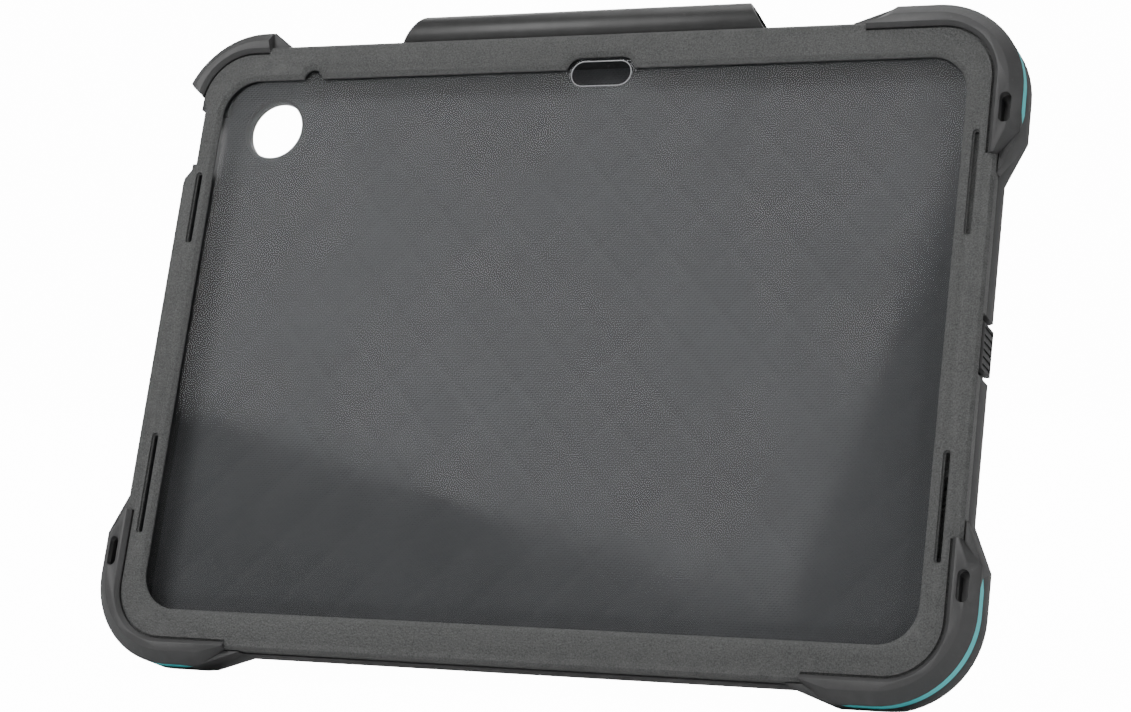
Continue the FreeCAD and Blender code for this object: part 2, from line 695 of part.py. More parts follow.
def back_shell():
    """Hard tray with the swivel's seat on its back."""
    outer = rectangle(SHELL_X, SHELL_Y, SHELL_R)
    inner = rectangle(WALL_IN_X, WALL_IN_Y, SHELL_R - SHELL_WALL)
    tray = prism(outer, BACK_Z, SHELL_RIM_Z).fuse(disc(SEAT_R, SEAT_Z, BACK_Z))
    finger_low = FINGER_GAP_LOW_Y + OVER
    finger_high = FINGER_GAP_HIGH_Y - OVER
    flange_half_w = BUTTON_HALF_W + BUTTON_FLANGE + MOVING_CLEARANCE + REST_GAP
    flange_half_h = BUTTON_HALF_H + BUTTON_FLANGE + MOVING_CLEARANCE + REST_GAP
    cuts = [
        prism(inner, FLOOR_Z, SHELL_RIM_Z + OVER),
        disc(HUB_R + RUNNING_CLEARANCE, SEAT_Z - OVER, FLOOR_Z + OVER),
        disc(HUB_R + HUB_FLANGE + MOVING_CLEARANCE, RECESS_Z, FLOOR_Z + OVER),
        disc(CAMERA_R, BACK_Z - OVER, FLOOR_Z + OVER, (CAMERA_X, CAMERA_Y)),
        block(-FAR, -PAD_IN_X, finger_low, finger_high, FLOOR_Z, SHELL_RIM_Z + OVER),
        block(PAD_IN_X, FAR, -PORT_HALF, PORT_HALF, FLOOR_Z + PORT_SILL, SHELL_RIM_Z + OVER),
    ]
    cuts += button_windows(flange_half_w, flange_half_h, WALL_IN_Y - OVER, SHELL_Y + OVER)
    return tray.cut(cuts).removeSplitter()


def shell_liner():
    """Soft lining on the tray's floor."""
    half_x = PAD_IN_X - LINER_EDGE
    half_y = PAD_IN_Y - LINER_EDGE
    liner = prism(rectangle(half_x, half_y, TABLET_R), FLOOR_Z, LINER_Z)
    hole = disc(CAMERA_R + OVER, FLOOR_Z - OVER, LINER_Z + OVER, (CAMERA_X, CAMERA_Y))
    return liner.cut(hole)


def corner_pad(name):
    """Rubber pad that holds a corner of the tablet."""
    outer = rectangle(WALL_IN_X, WALL_IN_Y, SHELL_R - SHELL_WALL)
    inner = rectangle(PAD_IN_X, PAD_IN_Y, TABLET_R + TABLET_CLEARANCE)
    ring = prism(outer, FLOOR_Z, 0).cut(prism(inner, FLOOR_Z - OVER, OVER))
    zone = block(PAD_IN_X - PAD_LEG, FAR, PAD_IN_Y - PAD_LEG, FAR, FLOOR_Z - OVER, OVER)
    return to_corner(ring.common(zone), *CORNERS[name])


def camera_guard():
    """Raised ring round the rear camera's hole."""
    centre = (CAMERA_X, CAMERA_Y)
    z0 = BACK_Z - CAMERA_GUARD_HEIGHT
    outer_r = CAMERA_R + CAMERA_GUARD_WALL
    ring = Part.makeCone(
        outer_r - CAMERA_GUARD_HEIGHT / 2, outer_r, CAMERA_GUARD_HEIGHT,
        Vector(CAMERA_X, CAMERA_Y, z0),
    )
    return ring.cut(disc(CAMERA_R, z0 - OVER, BACK_Z + OVER, centre))


def frame_space():
    """Room for the front frame between the bumpers, with its lift-off clearance."""
    clear = LIFT_OFF_CLEARANCE
    z0, z1 = SLEEVE_FRONT_Z, BUMPER_FRONT_Z
    space = prism(rectangle(FRAME_X + clear, FRAME_Y + clear, SHELL_R), z0, z1)
    for name, (side_x, side_y) in CORNERS.items():
        start = bumper_ends(name)[0]
        zone = block(start[0] + clear, FAR, start[1] + clear, FAR, z0 - OVER, z1 + OVER)
        space = space.cut(to_corner(zone, side_x, side_y))
    return space


def shock_sleeve(stripes):
    """Rubber sleeve round the shell: side walls, rear rim and the four rear corners."""
    cut = SLEEVE_REAR_CHAMFER
    outer = rectangle(SLEEVE_X, SLEEVE_Y, SHELL_R)
    small = rectangle(SLEEVE_X - cut, SLEEVE_Y - cut, SHELL_R - cut)
    band = prism(outer, BACK_Z, SLEEVE_FRONT_Z).fuse(taper(small, SLEEVE_BACK_Z, outer, BACK_Z))
    sleeve = band.fuse([rear_lobe(name) for name in CORNERS])
    low = SLEEVE_BACK_Z - OVER
    door_half = DOOR_HALF + DOOR_SLIT
    cap_half_w = BUTTON_HALF_W + MOVING_CLEARANCE
    cap_half_h = BUTTON_HALF_H + MOVING_CLEARANCE
    rear_hole = rectangle(SHELL_X - SLEEVE_LIP_WIDTH, SHELL_Y - SLEEVE_LIP_WIDTH, SLEEVE_LIP_R)
    cuts = [
        prism(rectangle(SHELL_X, SHELL_Y, SHELL_R), BACK_Z, FRAME_FRONT_Z),
        prism(rear_hole, low, BACK_Z + OVER),
        finger_gap(low, FRAME_FRONT_Z),
        frame_space(),
        block(SHELL_X, FAR, -door_half, door_half, low, FRAME_FRONT_Z),
        block(STYLUS_LEFT_X, STYLUS_RIGHT_X, SHELL_Y, FAR, low, FRAME_FRONT_Z),
    ]
    cuts += button_windows(cap_half_w, cap_half_h, SHELL_Y - OVER, SLEEVE_Y + OVER)
    return sleeve.cut(cuts + stripes).cut(below_floor()).removeSplitter()


def below_floor():
    """Everything under the surface that the case stands on."""
    slab = Part.makeBox(2 * FAR, 2 * FAR, FAR, Vector(-FAR, -FAR, FLOOR_HEIGHT - FAR))
    slab.Placement = Placement(Vector(), Rotation(Vector(1, 0, 0), LEAN_BACK - 90))
    return slab


def stylus_sleeve():
    """Rubber tube for a stylus on the top side, with slanted ends."""
    low_y = SHELL_Y
    long = STYLUS_RIGHT_X - STYLUS_LEFT_X
    tube = rod(
        STYLUS_OUTER_R, (STYLUS_LEFT_X, STYLUS_Y, STYLUS_Z), (STYLUS_RIGHT_X, STYLUS_Y, STYLUS_Z)
    )
    foot = block(
        STYLUS_LEFT_X, STYLUS_RIGHT_X, low_y, STYLUS_Y, STYLUS_FOOT_REAR, STYLUS_FOOT_FRONT
    )
    body = tube.fuse(foot)
    top_y = STYLUS_Y + STYLUS_OUTER_R
    slant = (top_y - low_y) * STYLUS_END_SLANT
    envelope = prism(
        [
            (STYLUS_LEFT_X, low_y, 0),
            (STYLUS_RIGHT_X, low_y, 0),
            (STYLUS_RIGHT_X - slant, top_y, 0),
            (STYLUS_LEFT_X + slant, top_y, 0),
        ],
        STYLUS_Z - 2 * STYLUS_OUTER_R,
        STYLUS_Z + 2 * STYLUS_OUTER_R,
    )
    bore = rod(
        STYLUS_BORE_R,
        (STYLUS_LEFT_X - long, STYLUS_Y, STYLUS_Z),
        (STYLUS_RIGHT_X + long, STYLUS_Y, STYLUS_Z),
    )
    return body.common(envelope).cut(bore).removeSplitter()


def port_door():
    """Ribbed rubber door over the charging port, with a locating rib on its inside."""
    plate = cross_prism_y(
        [
            (DOOR_IN_X, DOOR_BACK_Z, DOOR_FOOT_R),
            (DOOR_OUT_X, DOOR_BACK_Z, DOOR_EDGE_R),
            (DOOR_OUT_X, DOOR_FRONT_Z, DOOR_EDGE_R),
            (DOOR_IN_X, DOOR_FRONT_Z, 0),
        ],
        -DOOR_HALF,
        DOOR_HALF,
    )
    plug_half = PLUG_THICKNESS / 2
    plug = cross_prism_x(
        rectangle(PLUG_HALF_W, plug_half, plug_half * PLUG_ROUNDING, (0, PLUG_Z)),
        DOOR_IN_X - PLUG_LENGTH,
        DOOR_IN_X,
    )
    door = plate.fuse(plug)
    for index in range(DOOR_RIBS + 1):
        y = (index - DOOR_RIBS / 2) * DOOR_RIB_PITCH
        door = door.cut(
            block(
                DOOR_OUT_X - DOOR_RIB_DEPTH, DOOR_OUT_X + OVER,
                y - DOOR_RIB_GAP / 2, y + DOOR_RIB_GAP / 2,
                DOOR_BACK_Z + OVER, DOOR_FRONT_Z - OVER,
            )
        )
    return door


def volume_button(x):
    """Rubber cap with a flange behind the sleeve and a stem to the tablet's button."""
    cap_in = SHELL_Y - REST_GAP
    flange_in = cap_in - BUTTON_FLANGE_THICKNESS
    stem_in = TABLET_H / 2 + BUTTON_TRAVEL + BUTTON_REST_GAP
    centre = (x, BUTTON_Z)
    flange = rectangle(
        BUTTON_HALF_W + BUTTON_FLANGE,
        BUTTON_HALF_H + BUTTON_FLANGE,
        BUTTON_WINDOW_R,
        centre,
    )
    cap = rectangle(BUTTON_HALF_W, BUTTON_HALF_H, BUTTON_R, centre)
    stem = rectangle(BUTTON_STEM_HALF_W, BUTTON_STEM_HALF_H, BUTTON_STEM_R, centre)
    return joined(
        [
            cross_prism_y(cap, cap_in, SLEEVE_Y + BUTTON_PROUD),
            cross_prism_y(flange, flange_in, cap_in),
            cross_prism_y(stem, stem_in, flange_in),
        ]
    )


# --- swivel ---------------------------------------------------------------------------------
def on_circle(radius, count, turn=0.0):
    """Centres of evenly spaced fasteners."""
    step = 2 * math.pi / count
    return [
        (radius * math.cos(turn + i * step), radius * math.sin(turn + i * step))
        for i in range(count)
    ]


def swivel_screws():
    """Countersunk screws that hold the retaining washer to the hub."""
    screws = []
    for x, y in on_circle(SCREW_CIRCLE_R, SCREW_COUNT, math.pi / SCREW_COUNT):
        rise = SCREW_HEAD_R - SCREW_R
        head = Part.makeCone(
            SCREW_R, SCREW_HEAD_R, rise, Vector(x, y, RETAINER_Z - rise), Vector(0, 0, 1)
        )
        shank = disc(SCREW_R, HUB_TOP_Z - SCREW_BITE, RETAINER_Z - rise, (x, y))
        screws.append(joined([head, shank]))
    return screws


def friction_ring():
    """Thin ring that the swivel plate rubs on."""
    z0 = SEAT_Z - FRICTION_RING_THICKNESS
    ring = disc(FRICTION_RING_OUTER_R, z0, SEAT_Z)
    return ring.cut(disc(FRICTION_RING_INNER_R, z0 - OVER, SEAT_Z + OVER))


def retaining_washer(screws):
    """Washer inside the shell that keeps the hub in its hole."""
    return disc(HUB_R + HUB_FLANGE, HUB_TOP_Z, RETAINER_Z).cut(screws)


def hinge_barrel(side):
    """Boss on the swivel plate that holds one hinge pin."""
    inner = SWIVEL_HALF_W - HINGE_BARREL_LENGTH
    return rod(
        HINGE_BARREL_R, (side * inner, HINGE_Y, HINGE_Z), (side * SWIVEL_HALF_W, HINGE_Y, HINGE_Z)
    )


def swivel_plate(fasteners):
    """Turning plate on the back: hub, barrels for the stand and a shallow pocket."""
    plate = prism(rectangle(SWIVEL_HALF_W, SWIVEL_HALF_H, SWIVEL_R), PLATE_BACK_Z, PLATE_FRONT_Z)
    body = joined(
        [plate, disc(HUB_R, PLATE_FRONT_Z, HUB_TOP_Z), hinge_barrel(-1), hinge_barrel(1)]
    )
    pocket_half_w = STRAP_BASE_HALF - STRAP_THICKNESS - OVER
    pocket = rectangle(pocket_half_w, SWIVEL_HALF_H - SWIVEL_POCKET_MARGIN, SWIVEL_R / 2)
    body = body.cut(prism(pocket, PLATE_BACK_Z - OVER, PLATE_BACK_Z + SWIVEL_POCKET_DEPTH))
    return body.cut(fasteners)


def hinge_pin(side):
    """Headed pin through one eye of the stand's leg."""
    inner = SWIVEL_HALF_W - HINGE_BARREL_LENGTH + OVER
    head = LEG_OUT_X + 2 * REST_GAP
    return joined(
        [
            rod(PIN_R, (side * inner, HINGE_Y, HINGE_Z), (side * head, HINGE_Y, HINGE_Z)),
            rod(
                PIN_HEAD_R,
                (side * head, HINGE_Y, HINGE_Z),
                (side * (head + PIN_HEAD_THICKNESS), HINGE_Y, HINGE_Z),
            ),
        ]
    )


def hinge_washer(side, pin):
    """Plastic washer between the barrel and the leg."""
    ring = rod(
        HINGE_BARREL_R,
        (side * SWIVEL_HALF_W, HINGE_Y, HINGE_Z),
        (side * (SWIVEL_HALF_W + WASHER_THICKNESS), HINGE_Y, HINGE_Z),
    )
    return ring.cut(pin)


# --- hand strap -----------------------------------------------------------------------------
def arch(inset):
    """Outline of the strap's arch in X and Z, open towards the plate."""
    low = PLATE_BACK_Z + OVER if inset else PLATE_BACK_Z
    top = PLATE_BACK_Z - STRAP_RISE + inset
    radius = STRAP_R - inset
    return [
        (-STRAP_BASE_HALF + inset, low, 0),
        (-STRAP_CROWN_HALF + inset, top, radius),
        (STRAP_CROWN_HALF - inset, top, radius),
        (STRAP_BASE_HALF - inset, low, 0),
    ]


def hand_strap(screws):
    """Webbing strap: an arch over the hand with a flat tab at each end."""
    half = STRAP_WIDTH / 2
    strap = cross_prism_y(arch(0), -half, half)
    strap = strap.cut(cross_prism_y(arch(STRAP_THICKNESS), -half - OVER, half + OVER))
    z0, z1 = PLATE_BACK_Z - STRAP_THICKNESS, PLATE_BACK_Z
    tab_start = STRAP_BASE_HALF - STRAP_THICKNESS
    for side in (-1, 1):
        ends = sorted((side * tab_start, side * STRAP_TAB_END))
        strap = strap.fuse(block(*ends, -half, half, z0, z1))
    return strap.removeSplitter().cut(screws)


def strap_pad():
    """Foam pad under the crown of the strap."""
    z0 = PLATE_BACK_Z - STRAP_RISE + STRAP_THICKNESS
    half_w = STRAP_CROWN_HALF - STRAP_R * PAD_SHORTER
    corners = rectangle(half_w, PAD_FOAM / 2, PAD_FOAM * PAD_ROUNDING, (0, z0 + PAD_FOAM / 2))
    half = STRAP_WIDTH / 2 + PAD_EXTRA_WIDTH
    return cross_prism_y(corners, -half, half)


def strap_screws():
    """Pan-head screws through the clamps and strap tabs into the plate."""
    under_head = PLATE_BACK_Z - STRAP_THICKNESS - CLAMP_THICKNESS
    screws = []
    for x in (-CLAMP_X, CLAMP_X):
        for y in (-CLAMP_SCREW_Y, CLAMP_SCREW_Y):
            head = disc(CLAMP_HEAD_R, under_head - CLAMP_HEAD_HEIGHT, under_head, (x, y))
            shank = disc(CLAMP_SCREW_R, under_head, PLATE_FRONT_Z - REST_GAP, (x, y))
            screws.append(joined([head, shank]))
    return screws


def strap_clamp(side, screws):
    """Bar that clamps one end of the strap."""
    z1 = PLATE_BACK_Z - STRAP_THICKNESS
    bar = rectangle(CLAMP_HALF_W, STRAP_WIDTH / 2, CLAMP_HALF_W * CLAMP_ROUNDING, (side * CLAMP_X, 0))
    return prism(bar, z1 - CLAMP_THICKNESS, z1).cut(screws)


# --- kickstand ------------------------------------------------------------------------------
def opened(shape):
    """A piece of the folded stand, swung out to the standing pose."""
    turned = shape.copy()
    turned.rotate(Vector(0, HINGE_Y, HINGE_Z), Vector(1, 0, 0), LEG_OPEN)
    return turned


def leg_outline():
    """Outer outline of the folded leg."""
    tip = HINGE_Y - LEG_REACH
    return [
        (-LEG_OUT_X, HINGE_Y, 0),
        (-LEG_OUT_X, tip, LEG_OUTER_R),
        (LEG_OUT_X, tip, LEG_OUTER_R),
        (LEG_OUT_X, HINGE_Y, 0),
    ]


def kickstand_leg():
    """U-shaped leg with an eye at the top of each arm, drawn folded and then opened."""
    z0, z1 = HINGE_Z - LEG_THICKNESS / 2, HINGE_Z + LEG_THICKNESS / 2
    tip = HINGE_Y - LEG_REACH
    inner = [
        (-LEG_IN_X, HINGE_Y + OVER, 0),
        (-LEG_IN_X, tip + LEG_BAR, LEG_INNER_R),
        (LEG_IN_X, tip + LEG_BAR, LEG_INNER_R),
        (LEG_IN_X, HINGE_Y + OVER, 0),
    ]
    leg = prism(leg_outline(), z0, z1).cut(prism(inner, z0 - OVER, z1 + OVER))
    for side in (-1, 1):
        start = (side * LEG_IN_X, HINGE_Y, HINGE_Z)
        end = (side * LEG_OUT_X, HINGE_Y, HINGE_Z)
        leg = leg.fuse(rod(LEG_EYE_R, start, end))
    for side in (-1, 1):
        start = (side * (LEG_IN_X - OVER), HINGE_Y, HINGE_Z)
        end = (side * (LEG_OUT_X + OVER), HINGE_Y, HINGE_Z)
        leg = leg.cut(rod(PIN_R + RUNNING_CLEARANCE, start, end))
    return opened(leg.removeSplitter())


def kickstand_foot(leg):
    """Rubber foot on the leg's cross-bar, flat where it meets the table."""
    tip = HINGE_Y - LEG_REACH
    half = FOOT_HALF_DEPTH
    profile = [
        (tip - FOOT_TIP, HINGE_Z - half, FOOT_R),
        (tip + FOOT_WRAP, HINGE_Z - half, FOOT_R),
        (tip + FOOT_WRAP, HINGE_Z + half, FOOT_R),
        (tip - FOOT_TIP, HINGE_Z + half, FOOT_R),
    ]
    foot = cross_prism_x(profile, -FOOT_HALF_LENGTH, FOOT_HALF_LENGTH)
    return opened(foot).cut(leg).cut(below_floor())


# --- the whole case -------------------------------------------------------------------------
def build_pieces():
    """Every piece in case coordinates, by node name."""
    stripes = {name: stripe(name) for name in CORNERS}
    hub_screws = swivel_screws()
    clamp_screws = strap_screws()
    pins = {"left": hinge_pin(-1), "right": hinge_pin(1)}
    leg = kickstand_leg()
    pieces = {
        "back_shell": back_shell(),
        "shock_sleeve": shock_sleeve(list(stripes.values())),
        "shell_liner": shell_liner(),
        "camera_guard": camera_guard(),
        "stylus_sleeve": stylus_sleeve(),
        "friction_ring": friction_ring(),
        "front_frame": front_frame(),
        "screen_film": screen_film(),
        "film_tape": film_tape(),
        "port_door": port_door(),
        "volume_up_button": volume_button(BUTTON_X[0]),
        "volume_down_button": volume_button(BUTTON_X[1]),
        "swivel_plate": swivel_plate(hub_screws + clamp_screws + list(pins.values())),
        "retaining_washer": retaining_washer(hub_screws),
        "swivel_screws": Part.makeCompound(hub_screws),
        "hand_strap": hand_strap(clamp_screws),
        "strap_pad": strap_pad(),
        "strap_screws": Part.makeCompound(clamp_screws),
        "kickstand_leg": leg,
        "kickstand_foot": kickstand_foot(leg),
    }
    for name in CORNERS:
        pieces[f"accent_{name}"] = stripes[name]
        pieces[f"corner_pad_{name}"] = corner_pad(name)
        pieces[f"front_bumper_{name}"] = front_bumper(name)
    for name, side in (("left", -1), ("right", 1)):
        pieces[f"hinge_pin_{name}"] = pins[name]
        pieces[f"hinge_washer_{name}"] = hinge_washer(side, pins[name])
        pieces[f"strap_clamp_{name}"] = strap_clamp(side, clamp_screws)
    return pieces


def standing_pose(pieces):
    """Placement that tilts the case back and puts the origin under the middle of its box."""
    tilt = Placement(Vector(), Rotation(Vector(1, 0, 0), 90 - LEAN_BACK))
    whole = Part.makeCompound(list(pieces.values()))
    whole.transformShape(tilt.toMatrix())
    box = whole.optimalBoundingBox(False)
    shift = Vector(-box.Center.x, -box.Center.y, -FLOOR_HEIGHT)
    return Placement(shift, tilt.Rotation)


def main():
    """Build every piece, stand the case up and write one STEP file for each node."""
    os.makedirs("parts", exist_ok=True)
    pieces = build_pieces()
    pose = standing_pose(pieces)
    for name, shape in pieces.items():
        placed = shape.copy()
        placed.transformShape(pose.toMatrix())
        placed.exportStep(f"parts/{name}.step")
        print(name, len(placed.Solids), round(placed.Volume, 1), placed.isValid())
    return pieces, pose


PIECES, POSE = main()
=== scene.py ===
"""Looks of a rugged tablet case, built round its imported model.

The case stands leaning back on its kickstand. Lengths are in metres. Most shapes are drawn in
case coordinates: X to the right, Y towards the top edge and Z out of the screen, with the
tablet's glass at Z = 0. CaseAxes turns them into the model's own frame.
"""

import json
import logging
import math
from dataclasses import dataclass, field
from enum import Enum

import bmesh
import bpy
import numpy as np
from mathutils import Matrix, Vector


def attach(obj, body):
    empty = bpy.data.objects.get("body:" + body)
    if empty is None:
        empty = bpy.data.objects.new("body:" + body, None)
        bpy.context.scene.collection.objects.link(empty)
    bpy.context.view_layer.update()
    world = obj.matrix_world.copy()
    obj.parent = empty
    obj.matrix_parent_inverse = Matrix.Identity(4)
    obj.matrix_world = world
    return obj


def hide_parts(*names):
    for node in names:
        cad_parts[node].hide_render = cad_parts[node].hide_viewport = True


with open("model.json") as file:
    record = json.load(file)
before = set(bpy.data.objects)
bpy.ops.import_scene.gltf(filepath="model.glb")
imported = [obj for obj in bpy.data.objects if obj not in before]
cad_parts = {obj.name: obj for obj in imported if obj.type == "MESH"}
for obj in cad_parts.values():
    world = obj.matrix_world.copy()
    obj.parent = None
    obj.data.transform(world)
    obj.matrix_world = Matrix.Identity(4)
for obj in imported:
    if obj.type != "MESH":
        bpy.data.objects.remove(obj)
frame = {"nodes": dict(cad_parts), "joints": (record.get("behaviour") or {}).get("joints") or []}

LOG = logging.getLogger("tablet_case")
MM = 0.001
Colour = tuple[float, float, float]


# --- case coordinates -----------------------------------------------------------------------
@dataclass(frozen=True)
class CaseAxes:
    """The case's own axes in the model's frame."""

    origin: Vector
    x: Vector
    y: Vector
    z: Vector

    @classmethod
    def from_frame(cls) -> "CaseAxes":
        """Reads the axes from the joints and the glass plane from the screen film."""
        joints = {joint["name"]: joint for joint in frame["joints"]}
        z = Vector(joints["front_lift"]["axis"]).normalized()
        y = -Vector(joints["volume_up_press"]["axis"]).normalized()
        x = y.cross(z).normalized()
        pivot = Vector(joints["swivel_turn"]["pos_m"])
        film = frame["nodes"]["screen_film"].data
        low = min((vertex.co - pivot).dot(z) for vertex in film.vertices)
        film_above_glass = 0.12 * MM
        return cls(pivot + z * (low - film_above_glass), x, y, z)

    def matrix(self) -> Matrix:
        """Matrix from case coordinates to the model's frame."""
        rotation = Matrix((self.x, self.y, self.z)).transposed().to_4x4()
        return Matrix.Translation(self.origin) @ rotation

    def extent(self, node: str) -> tuple[Vector, Vector]:
        """Lowest and highest corners of a node in case coordinates.

        Args:
            node: Name of the CAD node.

        Returns:
            Two corners of the node's box along the case's axes.
        """
        back = self.matrix().inverted()
        points = np.array([back @ vertex.co for vertex in frame["nodes"][node].data.vertices])
        return Vector(points.min(axis=0)), Vector(points.max(axis=0))


AXES = CaseAxes.from_frame()


class Body(Enum):
    """Bodies of the model that a piece can ride on."""

    BACK = "case_back"
    FRONT = "front"
    VOLUME_UP = "volume_up"
    VOLUME_DOWN = "volume_down"
    SWIVEL = "swivel"
    STAND = "kickstand"


# --- node trees -----------------------------------------------------------------------------
class TreeBuilder:
    """Adds nodes to a tree and joins their sockets."""

    def __init__(self, tree: bpy.types.NodeTree) -> None:
        """Takes the tree that the nodes go into."""
        self.tree = tree

    def node(self, kind: str, settings: dict | None = None, **inputs: object) -> bpy.types.Node:
        """Adds a node.

        Args:
            kind: The node's type name.
            settings: Properties to set on the node.
            **inputs: Values or sockets for the inputs, by name with _ for a space.

        Returns:
            The new node.
        """
        node = self.tree.nodes.new(kind)
        for name, value in (settings or {}).items():
            setattr(node, name, value)
        for name, value in inputs.items():
            self.feed(node.inputs[name.replace("_", " ")], value)
        return node

    def feed(self, socket: bpy.types.NodeSocket, value: object) -> None:
        """Links a socket to the input, or sets the input's own value."""
        if isinstance(value, bpy.types.NodeSocket):
            self.tree.links.new(value, socket)
        else:
            socket.default_value = value

    def math(self, operation: str, first: object, second: object = 0.0) -> bpy.types.NodeSocket:
        """Adds a Math node for one sum and returns its result."""
        node = self.tree.nodes.new("ShaderNodeMath")
        node.operation = operation
        self.feed(node.inputs[0], first)
        self.feed(node.inputs[1], second)
        return node.outputs[0]

    def mapped(self, value: object, low: float, high: float, to_low: float,
               to_high: float) -> bpy.types.NodeSocket:
        """Maps a range of values onto another, clamped, and returns the result."""
        node = self.node("ShaderNodeMapRange", {"clamp": True}, Value=value, From_Min=low,
                         From_Max=high, To_Min=to_low, To_Max=to_high)
        return node.outputs["Result"]

    def mixed(self, factor: object, first: object, second: object) -> bpy.types.NodeSocket:
        """Mixes two colours and returns the result."""
        node = self.tree.nodes.new("ShaderNodeMix")
        node.data_type = "RGBA"
        self.feed(node.inputs["Factor"], factor)
        self.feed(node.inputs[6], first)
        self.feed(node.inputs[7], second)
        return node.outputs[2]


def new_group(name: str, kind: str, inputs: dict[str, object],
              outputs: dict[str, str]) -> tuple[TreeBuilder, bpy.types.Node, bpy.types.Node]:
    """Makes an empty node group with named sockets.

    Args:
        name: The group's name.
        kind: ShaderNodeTree or GeometryNodeTree.
        inputs: Socket types by name, or (type, default) pairs.
        outputs: Socket types by name.

    Returns:
        The builder, the group's input node and its output node.
    """
    tree = bpy.data.node_groups.new(name, kind)
    for socket_name, given in inputs.items():
        socket_type, default = given if isinstance(given, tuple) else (given, None)
        socket = tree.interface.new_socket(socket_name, in_out="INPUT", socket_type=socket_type)
        if default is not None:
            socket.default_value = default
    for socket_name, socket_type in outputs.items():
        tree.interface.new_socket(socket_name, in_out="OUTPUT", socket_type=socket_type)
    build = TreeBuilder(tree)
    return build, build.node("NodeGroupInput"), build.node("NodeGroupOutput")


FLOAT = "NodeSocketFloat"
VECTOR = "NodeSocketVector"
GEOMETRY = "NodeSocketGeometry"
MATERIAL = "NodeSocketMaterial"


